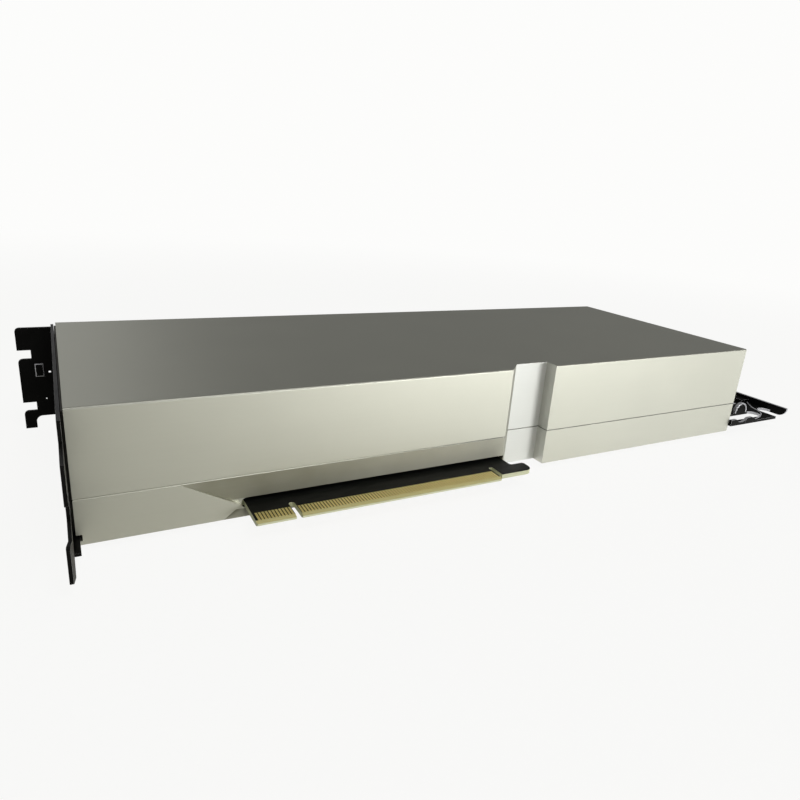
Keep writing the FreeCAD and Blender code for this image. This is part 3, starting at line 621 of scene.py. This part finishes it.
def pick_edges(piece, wanted):
    """In edit mode, selects the sharp outward edges that the test wants."""
    bpy.ops.mesh.select_mode(type="EDGE")
    form = bmesh.from_edit_mesh(piece.data)
    for face in form.faces:
        face.select = False
    for edge in form.edges:
        is_sharp = len(edge.link_faces) == 2 and edge.calc_face_angle(0.0) > SHARP
        edge.select = is_sharp and edge.is_convex and wanted(edge)
    bmesh.update_edit_mesh(piece.data)


def pick_faces(piece, wanted):
    """In edit mode, selects the faces that the test wants."""
    bpy.ops.mesh.select_mode(type="FACE")
    form = bmesh.from_edit_mesh(piece.data)
    for face in form.faces:
        face.select = wanted(face)
    bmesh.update_edit_mesh(piece.data)


def longer_than(least):
    """A test for edges over a length."""
    return lambda edge: edge.calc_length() > least


def break_edges(piece, width, segments=2, wanted=lambda edge: True, material=-1):
    """Bevels the sharp outward edges that the test wants, into one of the piece's material slots."""
    open_mesh(piece)
    pick_edges(piece, wanted)
    bpy.ops.mesh.bevel(offset=width, segments=segments, affect="EDGES", clamp_overlap=True,
                       material=material)
    close_mesh()


def paint_faces(piece, slot, wanted):
    """Gives the faces that the test wants the material in one of the piece's slots."""
    for face in piece.data.polygons:
        if wanted(face):
            face.material_index = slot


def narrow_width(piece, face):
    """About how wide a face is across its longest edge."""
    vertices = piece.data.vertices
    longest = max((vertices[a].co - vertices[b].co).length for a, b in face.edge_keys)
    return face.area / longest


def smooth(piece):
    """Shades a piece smooth, apart from its sharp edges, and keeps its large faces flat."""
    select_only(piece)
    bpy.ops.object.shade_smooth_by_angle(angle=SHARP)
    apply_modifier(piece, "WEIGHTED_NORMAL", mode="FACE_AREA", weight=100, keep_sharp=True)


def put_on(piece, slot):
    """Puts a finished piece on the card. The slot is not used."""
    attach(piece, BODY)


def stand_for(piece, slot, node):
    """Smooths a piece and puts it on the card in place of a CAD node."""
    smooth(piece)
    put_on(piece, slot)
    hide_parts(node)


def soften_node(node, name, slot, material, width):
    """A piece with a node's shape, softened edges and one material, in place of the node."""
    piece = merged_copy(node, name, material)
    break_edges(piece, width)
    stand_for(piece, slot, node)


def paint_node(node, material):
    """Gives a CAD node a material and leaves its shape alone."""
    slots = frame["nodes"][node].data.materials
    slots.clear()
    slots.append(material)


def solid_boxes(node):
    """Lowest and highest corners of each separate solid of a node."""
    open_mesh(merged_copy(node, "count_" + node))
    bpy.ops.mesh.select_all(action="SELECT")
    bpy.ops.mesh.separate(type="LOOSE")
    bpy.ops.object.mode_set(mode="OBJECT")
    boxes = []
    for part in list(bpy.context.selected_objects):
        points = [vertex.co for vertex in part.data.vertices]
        boxes.append([Vector([end(point[axis] for point in points) for axis in range(3)])
                      for end in (min, max)])
    bpy.ops.object.delete()
    return boxes


def cut_with(piece, cutter):
    """Takes one piece's shape out of another and deletes the cutter."""
    select_only(piece)
    apply_modifier(piece, "BOOLEAN", operation="DIFFERENCE", solver="EXACT", object=cutter)
    bpy.data.objects.remove(cutter)


def make_screw(name, low, high, settings):
    """A countersunk screw between two heights, its head down, with a six-sided recess."""
    head_radius = (high.x - low.x) / 2
    head_height = head_radius / 2
    land = settings.head_land
    middle = (low + high) / 2
    screw = add_primitive("cylinder", name, (middle.x, middle.y, low.z + land / 2),
                          vertices=settings.round_sides, radius=head_radius, depth=land)
    open_mesh(screw)
    pick_faces(screw, lambda face: face.normal.z > FACING)
    bpy.ops.mesh.extrude_region_move(TRANSFORM_OT_translate={"value": (0, 0, head_height - land)})
    bpy.ops.transform.resize(value=(settings.shank, settings.shank, 1), center_override=middle)
    bpy.ops.mesh.extrude_region_move(TRANSFORM_OT_translate={"value": (0, 0, high.z - low.z - head_height)})
    close_mesh()
    cut_with(screw, add_primitive("cylinder", name + "_recess", (middle.x, middle.y, low.z), vertices=6,
                                  radius=settings.recess_width / 2, depth=2 * settings.recess_depth))
    just_inside = head_radius * 0.9

    def is_rim(edge):
        """Whether an edge lies on the outside of the head."""
        return min((v.co - middle).to_2d().length for v in edge.verts) > just_inside

    break_edges(screw, settings.rim_edge, 2, is_rim)
    return screw


def screw_set(node, settings, material):
    """One detailed screw, copied to every screw's place of a node and joined into one piece."""
    boxes = solid_boxes(node)
    first_low, first_high = boxes[0]
    screw = make_screw(node + "_driven", first_low, first_high, settings)
    screw.data.materials.append(material)
    select_only(screw)
    for low, _ in boxes[1:]:
        copy = add_object(screw.name, screw.data.copy())
        copy.location = low - first_low
        copy.select_set(True)
    bpy.ops.object.join()
    bpy.ops.object.transform_apply(location=True, rotation=True, scale=True)
    return screw


# Pieces

def opening(name):
    """Lowest and highest corners of an opening in the record."""
    found = [item for item in frame["record"]["physics"]["openings"] if item["name"] == name][0]
    return Vector(found["box_m"][0]), Vector(found["box_m"][1])


class CARD_OT_covers(Operator):
    """Add the upper and lower cover with broken edges and a satin finish"""
    bl_idname = "card.covers"
    bl_label = "Covers"

    # EDGE holds the broken edges' painted highlight, SEAM the painted shadow of the seam's gap, RELIEF the
    # relief's painted shade
    METAL, EDGE, SEAM, RELIEF, NOTCH = range(5)  # material slots of a cover
    SIDE_BAND = 5.5 * MM  # the outline's edges are this near to a long side,
    END_BAND = 0.1 * MM  # or this near to an end,
    SHORTEST = 1.5 * MM  # and longer than this
    NOTCH_GAP = 1 * MM  # the notch's floor is this near to its opening

    def execute(self, context):
        settings = context.scene.card_covers
        rough = settings.roughness
        materials = (
            satin_metal("shell_satin", settings.metal, rough),
            satin_metal("shell_edge_highlight", settings.edge_highlight_metal, rough * 0.75),
            seam_metal("shell_seam", settings.metal, settings.seam_painted_shadow, rough),
            relief_metal("shell_relief", settings.relief_painted_shade, settings.relief_metal, rough + 0.1),
            satin_metal("shell_notch", settings.notch_metal, rough, 0.45),
        )
        seam_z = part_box("lower_cover")[1].z
        for node, slot in (("upper_cover", "shell_satin"), ("lower_cover", "shell_satin_lower")):
            piece = merged_copy(node, node + "_satin", *materials)
            self.break_outline(piece, node, seam_z, settings)
            self.paint_cuts(piece, seam_z)
            stand_for(piece, slot, node)
        return {"FINISHED"}

    def break_outline(self, piece, node, seam_z, settings):
        """Bevels a cover's edges along the seam, and then the other edges of its outline."""
        low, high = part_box(node)

        def is_outer(edge):
            """Whether an edge is part of the outline and not of a post or a hole."""
            middle = (edge.verts[0].co + edge.verts[1].co) / 2
            at_side = min(middle.y - low.y, high.y - middle.y) < self.SIDE_BAND
            at_end = min(middle.x - low.x, high.x - middle.x) < self.END_BAND
            return edge.calc_length() > self.SHORTEST and (at_side or at_end)

        def is_seam(edge):
            """Whether an outer edge runs along the seam."""
            return is_outer(edge) and max(abs(v.co.z - seam_z) for v in edge.verts) < FIT

        break_edges(piece, settings.seam_width, 1, is_seam, self.SEAM)
        break_edges(piece, settings.edge_width, 2, is_outer, self.EDGE)

    def paint_cuts(self, piece, seam_z):
        """Gives the notch's tail wall the edges' brighter metal, the notch's floor its own metal, and the
        relief beside the tongue its metal with painted shade.
        """
        low, high = opening("latch_notch")

        def is_plain(face):
            """Whether a face still has the cover's own metal."""
            return face.material_index == self.METAL

        def is_tail_wall(face):
            """Whether a face is the notch's wall on the tail side."""
            return face.normal.x < -FACING and face.center.y < high.y and face.center.x > low.x

        def is_relief(face):
            """Whether a face slopes down beside the tongue."""
            slopes = LEANING < abs(face.normal.z) < STEEP
            return is_plain(face) and slopes and face.center.y < high.y and face.center.z < seam_z

        def is_floor(face):
            """Whether a face is the floor of the latch's notch."""
            behind = high.y < face.center.y < high.y + self.NOTCH_GAP
            return is_plain(face) and behind and face.normal.y < -FACING and face.center.x > low.x - FIT

        paint_faces(piece, self.EDGE, is_tail_wall)
        paint_faces(piece, self.RELIEF, is_relief)
        paint_faces(piece, self.NOTCH, is_floor)


class CARD_OT_board(Operator):
    """Add the circuit board with lacquered faces, bare cut edges and gold contacts"""
    bl_idname = "card.board"
    bl_label = "Circuit board"

    CUT, BEVEL = 1, 2  # material slots of the board, after the lacquer's

    def execute(self, context):
        settings = context.scene.card_board
        piece = merged_copy("circuit_board", "circuit_board_lacquered",
                            solder_mask("board_mask", settings.mask),
                            glass_epoxy("board_cut_edge", settings.core),
                            glass_epoxy("board_bevel", settings.bevel))
        paint_faces(piece, self.CUT, lambda face: abs(face.normal.z) < SQUARE_ON)
        paint_faces(piece, self.BEVEL, lambda face: LEANING < abs(face.normal.z) < SQUARE_ON)
        stand_for(piece, "board_black", "circuit_board")
        gold = plated_gold("contact_gold", settings.gold)
        paint_node("edge_contacts_component_side", gold)
        paint_node("edge_contacts_solder_side", gold)
        return {"FINISHED"}


class CARD_OT_bracket(Operator):
    """Add the black bracket with softened edges, painted bright as highlights"""
    bl_idname = "card.bracket"
    bl_label = "Bracket"

    RUBBED, PAD = 1, 2  # material slots of the bracket's painted highlights, along its edges and round its pad, after the coat's
    SHORTEST = 1.0 * MM  # its edges with the painted highlight are longer than this

    def execute(self, context):
        settings = context.scene.card_bracket
        piece = merged_copy("io_bracket", "io_bracket_coated",
                            coated_metal("bracket_coat", settings.coat),
                            sheared_edge_highlight("bracket_rubbed_edge", settings.painted_edge_highlight),
                            sheared_edge_highlight("bracket_pad_edge", settings.cut_edge))
        pad_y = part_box("io_bracket")[1].y - settings.pad_depth

        def is_pad(edge):
            """Whether an edge lies round the face of the pressed pad."""
            return max(abs(v.co.y - pad_y) for v in edge.verts) < FIT

        # the pad's rim and the bracket's edges are painted bright as highlights
        break_edges(piece, settings.pad_edge, 2, is_pad, self.PAD)
        break_edges(piece, settings.edge_width, 2, longer_than(self.SHORTEST), self.RUBBED)
        stand_for(piece, "bracket_black", "io_bracket")
        paint_node("bracket_screws", coated_metal("screw_black", settings.coat, 0.28))
        return {"FINISHED"}


class CARD_OT_bracket_gasket(Operator):
    """Add the thin dark foam frame that closes the gap between the bracket and the shell, standing in for the
    shade in it
    """
    bl_idname = "card.bracket_gasket"
    bl_label = "Bracket gasket"

    MARGIN = Vector((0, 1, 1)) * MM  # the foam stays this far inside the shell's outline
    ROUNDING = 0.35  # width of its soft edges, as a share of its depth

    def execute(self, context):
        settings = context.scene.card_bracket
        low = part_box("lower_cover")[0] + self.MARGIN
        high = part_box("upper_cover")[1] - self.MARGIN
        high.x = low.x
        low.x -= settings.gasket_depth
        low.z += settings.gasket_width
        gasket = add_primitive("cube", "bracket_gasket_foam", (low + high) / 2, high - low, size=1.0)
        open_mesh(gasket)
        pick_faces(gasket, lambda face: abs(face.normal.x) > FACING)
        bpy.ops.mesh.inset(thickness=settings.gasket_width, depth=0.0, use_individual=True)
        bpy.ops.mesh.bridge_edge_loops()
        close_mesh()
        # near-black foam, standing in for the gap's shade
        gasket.data.materials.append(soft_paste("gasket_foam", settings.gasket, 0.02 * MM))
        break_edges(gasket, settings.gasket_depth * self.ROUNDING)
        smooth(gasket)
        put_on(gasket, "bracket_black")
        return {"FINISHED"}


class CARD_OT_tail_extender(Operator):
    """Add the black tail extender with its sheared edges and beads painted bright as highlights"""
    bl_idname = "card.tail_extender"
    bl_label = "Tail extender"

    CUT = 1  # material slot of the extender's painted highlight, after the coat's
    SHORTEST = 0.3 * MM  # its broken edges are longer than this
    # The bead round an outer window: millimetres from the shell's tail end and from the middle line
    WINDOW = ((41.2, 31.0), (36.0, 36.0), (33.7, 40.8), (32.6, 44.2),
              (28.5, 47.3), (21.0, 49.9), (16.4, 50.0))
    ARCH = range(-10, 191, 20)  # the bead on a lug: degrees round its arch

    def execute(self, context):
        settings = context.scene.card_bracket
        highlight_finish = sheared_edge_highlight("extender_cut_edge", settings.cut_edge)
        piece = merged_copy("tail_extender", "tail_extender_coated",
                            coated_metal("extender_coat", settings.coat, 0.5), highlight_finish)
        # the sheet's thickness and its broken edges are painted bright as a highlight
        paint_faces(piece, self.CUT, lambda face: narrow_width(piece, face) < settings.sheet + FIT)
        break_edges(piece, settings.edge_width, 1, longer_than(self.SHORTEST), self.CUT)
        stand_for(piece, "extender_black", "tail_extender")
        for side, name in ((-1, "near"), (1, "far")):
            self.add_beads(settings, side, name, highlight_finish)
        return {"FINISHED"}

    def add_beads(self, settings, side, name, material):
        """The raised beads round one outer window's tail end and on one lug's arch, in the painted highlight
        metal.
        """
        shell_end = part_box("lower_cover")[1].x
        sheet_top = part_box("tail_extender")[0].z + settings.sheet
        window = [(shell_end + out * MM, side * across * MM, sheet_top) for out, across in self.WINDOW]
        middle = Vector((shell_end + settings.lug_place, side * settings.lug_face,
                         sheet_top + settings.lug_centre))
        turns = [math.radians(step) for step in self.ARCH]
        arch = [middle + settings.lug_radius * Vector((-math.cos(turn), 0, math.sin(turn))) for turn in turns]
        self.add_bead("window_bead_" + name, settings.bead_radius, window, material)
        self.add_bead("lug_bead_" + name, settings.bead_radius, arch, material)

    @staticmethod
    def add_bead(name, radius, points, material):
        """A round bead along a smooth line near the points."""
        line = bpy.data.curves.new(name, "CURVE")
        line.dimensions = "3D"
        line.bevel_depth = radius
        line.bevel_resolution = 3
        spline = line.splines.new("NURBS")
        spline.points.add(len(points) - 1)
        for point, place in zip(spline.points, points):
            point.co = (*place, 1.0)
        spline.order_u = 4
        spline.use_endpoint_u = True
        line.use_fill_caps = True
        line.materials.append(material)
        bead = add_object(name, line)
        put_on(bead, "extender_black")


class CARD_OT_screws(Operator):
    """Add the countersunk screws of the underside with their recesses"""
    bl_idname = "card.screws"
    bl_label = "Screws"

    def execute(self, context):
        settings = context.scene.card_screws
        steel = machined_metal("screw_zinc", settings.steel, 0.3, 0.2 * MM, (1, 1, 1))
        slots = {"cover_screws": "screw_steel_cover", "heatsink_screws": "screw_steel_heatsink",
                 "extender_screws": "screw_steel_extender"}
        for node, slot in slots.items():
            stand_for(screw_set(node, settings, steel), slot, node)
        return {"FINISHED"}


class CARD_OT_cooler(Operator):
    """Add the finish of the base plate, the fins and the vapour chamber"""
    bl_idname = "card.cooler"
    bl_label = "Cooler"

    SIDE_BAND = 6 * MM  # the base plate's outer edges are this near to its sides
    SHORTEST = 20 * MM  # and longer than this

    def execute(self, context):
        settings = context.scene.card_cooler
        milled = machined_metal("base_milled", settings.aluminium)
        base = merged_copy("heatsink_base", "heatsink_base_milled", milled)
        low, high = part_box("heatsink_base")

        def is_outer(edge):
            """Whether an edge is a long one near the plate's sides."""
            place = edge.verts[0].co.y
            return edge.calc_length() > self.SHORTEST and min(place - low.y, high.y - place) < self.SIDE_BAND

        break_edges(base, settings.edge_width, 2, is_outer)
        stand_for(base, "base_aluminium", "heatsink_base")
        fins = machined_metal("fin_sheet", settings.fin, 0.3, 0.15 * MM, (60, 1, 1))
        paint_node("heatsink_fins", fins)
        copper = machined_metal("chamber_copper", settings.copper, 0.32, 0.12 * MM, (8, 8, 1))
        paint_node("vapour_chamber", copper)
        return {"FINISHED"}


class CARD_OT_package(Operator):
    """Add the processor package: carrier, stiffener, die, memory and paste"""
    bl_idname = "card.package"
    bl_label = "Processor package"

    def execute(self, context):
        settings = context.scene.card_package
        looks = {
            "processor_substrate": ("substrate_green", solder_mask("carrier_green", settings.carrier)),
            "package_stiffener": ("stiffener_steel", machined_metal("stiffener_nickel", settings.nickel)),
            "memory_stacks": ("memory_silicon", moulding("memory_mould", settings.mould, 0.35)),
        }
        for node, (slot, material) in looks.items():
            soften_node(node, node + "_soft", slot, material, settings.edge_width)
        paint_node("processor_die", polished_silicon("die_silicon", settings.silicon))
        paint_node("thermal_paste", soft_paste("paste_grey", settings.paste))
        return {"FINISHED"}


class CARD_OT_power_parts(Operator):
    """Add the power parts and control chips on the board, the pads and the film"""
    bl_idname = "card.power_parts"
    bl_label = "Power parts"

    def execute(self, context):
        settings = context.scene.card_power
        chip = moulding("chip_mould", settings.mould)
        powder = pressed_powder("inductor_powder", settings.powder)
        ochre = moulding("capacitor_ochre", settings.ochre)
        looks = {
            "power_inductors": ("inductor_grey", powder, settings.inductor_edge),
            "power_stages": ("stage_black", chip, settings.chip_edge),
            "board_controllers": ("controller_black", chip, settings.chip_edge),
            "bulk_capacitors": ("capacitor_ochre", ochre, settings.capacitor_edge),
        }
        for node, look in looks.items():
            soften_node(node, node + "_soft", *look)
        paint_node("thermal_pads", soft_paste("pad_pink", settings.pad))
        paint_node("insulating_film", film_sheet("film_dark", settings.film))
        return {"FINISHED"}


class CARD_OT_power_connector(Operator):
    """Add the power connector and its pins"""
    bl_idname = "card.power_connector"
    bl_label = "Power connector"

    def execute(self, context):
        settings = context.scene.card_power
        nylon = moulding("connector_nylon", settings.mould, 0.42, 0.14 * MM)
        soften_node("power_connector", "power_connector_moulded", "connector_black", nylon,
                    settings.connector_edge)
        pins = merged_copy("power_pins", "power_pins_tinned", machined_metal("pin_tin", settings.tin, 0.22))
        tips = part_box("power_pins")[1].x
        break_edges(pins, settings.pin_bevel, 1, lambda edge: min(v.co.x for v in edge.verts) > tips - FIT)
        stand_for(pins, "pin_tin", "power_pins")
        return {"FINISHED"}


class CARD_OT_stage(Operator):
    """Add the floor, the soft light and the camera"""
    bl_idname = "card.stage"
    bl_label = "Stage"

    FLOOR_SIZE = 12.0
    SHADOW_FADE = (0.25, 0.9)  # distances from the card between which the floor turns even
    FLOOR_GLOW = (0.93, 1.0)  # how white the camera sees it at those distances
    REFLECTION_FADE = (-160 * MM, 120 * MM)  # places between which the metal shows it whiter
    HORIZON_BAND = 0.14  # height over the horizon at which the white has faded
    # Each lamp's place, the point that it faces, its side in metres and its power in watts
    LAMPS = {
        "key_front_right": ((0.55, -0.98, 0.06), (0.02, -0.05, 0.02), 0.42, 9.6),
        "top_back_left": ((-0.25, 0.90, 0.55), (-0.08, 0.0, 0.04), 0.50, 0.5),
        "edge_above": ((0.10, -0.42, 0.85), (0.0, -0.05, 0.03), 0.35, 2.0),
    }

    def execute(self, context):
        settings = context.scene.card_stage
        self.add_floor(settings)
        self.add_world(context, settings)
        self.add_lamps()
        self.add_camera(context, settings)
        context.scene.view_settings.view_transform = "Standard"
        return {"FINISHED"}

    @staticmethod
    def shown(finish, in_reflection):
        """1 where the camera meets the background, and the given share where a reflection or glass does."""
        camera_ray, glossy_ray, through_ray = [
            finish.node("LightPath", output=name)
            for name in ("Is Camera Ray", "Is Glossy Ray", "Is Transmission Ray")]
        return camera_ray.larger(glossy_ray.larger(through_ray) * in_reflection)

    def add_floor(self, settings):
        """A plain pale floor just under the card, which keeps the card's shadow."""
        floor = add_primitive("plane", "studio_floor", (0, 0, CAD_BOX[0].z), size=self.FLOOR_SIZE)
        finish = Finish("studio_floor")
        pale = finish.tint(settings.background, 0.004, finish.noise(1.5 * MM))
        diffuse = finish.node("BsdfDiffuse", None, {"Color": pale})
        away = finish.node("VectorMath", {"operation": "LENGTH"}, {0: finish.place}, "Value")
        open_floor = finish.blend(away, *self.SHADOW_FADE, *self.FLOOR_GLOW)
        bracket_end, tail_end = settings.floor_in_reflection
        in_metal = finish.along_x(*self.REFLECTION_FADE) * (tail_end - bracket_end) + bracket_end
        factor = self.shown(finish, in_metal) * open_floor
        camera_ray = finish.node("LightPath", output="Is Camera Ray")
        shade = finish.mix(camera_ray.larger(in_metal), settings.warm_floor, pale)
        glow = finish.node("Emission", None, {"Color": shade, "Strength": 1.0})
        mixed = finish.node("MixShader", None, {0: factor, 1: diffuse, 2: glow})
        floor.data.materials.append(finish.end(mixed))

    def add_world(self, context, settings):
        """White near the horizon for what shows the background, and a plain grey dome for the rest."""
        world = bpy.data.worlds.new("studio")
        context.scene.world = world
        finish = Finish("studio", world)
        height = finish.node("SeparateXYZ", None, {0: finish.place}, "Z")
        factor = self.shown(finish, finish.blend(height, 0.0, self.HORIZON_BAND, 1.0, 0.0))
        white = finish.rgba(settings.background)
        dome = finish.node("Background", None, {"Color": (1, 1, 1, 1), "Strength": settings.dome})
        backdrop = finish.node("Background", None, {"Color": white, "Strength": 1.0})
        mixed = finish.node("MixShader", None, {0: factor, 1: dome, 2: backdrop})
        finish.end(mixed, "OutputWorld")

    def add_lamps(self):
        """The soft square lamps."""
        for name, (place, target, size, power) in self.LAMPS.items():
            light = bpy.data.lights.new(name, "AREA")
            light.shape = "SQUARE"
            light.size = size
            light.energy = power
            lamp = add_object(name, light)
            lamp.visible_camera = False
            lamp.location = place
            lamp.rotation_euler = (Vector(target) - Vector(place)).to_track_quat("-Z", "Y").to_euler()

    def add_camera(self, context, settings):
        """The camera, from its heading, how far it looks down and how far it leans."""
        heading, down, roll = settings.heading, settings.down, settings.roll
        forward = Vector((math.sin(heading), math.cos(heading), 0))
        ahead = forward * math.cos(down) - Vector((0, 0, math.sin(down)))
        level = Vector((math.cos(heading), -math.sin(heading), 0))
        upright = level.cross(ahead)
        right = math.cos(roll) * level + math.sin(roll) * upright
        up = -math.sin(roll) * level + math.cos(roll) * upright
        data = bpy.data.cameras.new("camera")
        data.lens = settings.lens
        data.sensor_width = 36.0
        data.clip_start = 1 * MM
        data.clip_end = 100.0
        camera = add_object("camera", data)
        turn = Matrix((right, up, -ahead)).transposed().to_4x4()
        camera.matrix_world = Matrix.Translation(settings.camera_place) @ turn
        context.scene.camera = camera


PIECES = (CARD_OT_covers, CARD_OT_board, CARD_OT_bracket, CARD_OT_bracket_gasket, CARD_OT_tail_extender,
          CARD_OT_screws, CARD_OT_cooler, CARD_OT_package, CARD_OT_power_parts, CARD_OT_power_connector,
          CARD_OT_stage)


class CARD_PT_sidebar(Panel):
    """Buttons and settings of the card"""
    bl_idname = "CARD_PT_sidebar"
    bl_label = "Accelerator card"
    bl_space_type = "VIEW_3D"
    bl_region_type = "UI"
    bl_category = "Card"

    def draw(self, context):
        for group in GROUPS:
            settings = getattr(context.scene, group)
            box = self.layout.box()
            box.label(text=group.replace("card_", "").capitalize())
            for name in settings.bl_rna.properties.keys():
                if name not in ("rna_type", "name"):
                    box.prop(settings, name, text=name.replace("_", " ").capitalize())
        for piece in PIECES:
            self.layout.operator(piece.bl_idname)


GROUPS = {"card_covers": CoverSettings, "card_board": BoardSettings, "card_bracket": BracketSettings,
          "card_cooler": CoolerSettings, "card_package": PackageSettings, "card_power": PowerSettings,
          "card_screws": ScrewSettings, "card_stage": StageSettings}
CLASSES = (*GROUPS.values(), *PIECES, CARD_PT_sidebar)


def register():
    """Make the classes and their settings known."""
    for kind in CLASSES:
        bpy.utils.register_class(kind)
    for name, kind in GROUPS.items():
        setattr(bpy.types.Scene, name, PointerProperty(type=kind))


def unregister():
    """Take the settings and classes away again."""
    for name in GROUPS:
        delattr(bpy.types.Scene, name)
    for kind in reversed(CLASSES):
        bpy.utils.unregister_class(kind)


def main():
    """Build every piece and the stage."""
    register()
    for piece in PIECES:
        family, name = piece.bl_idname.split(".")
        getattr(getattr(bpy.ops, family), name)()


if __name__ == "__main__":
    main()
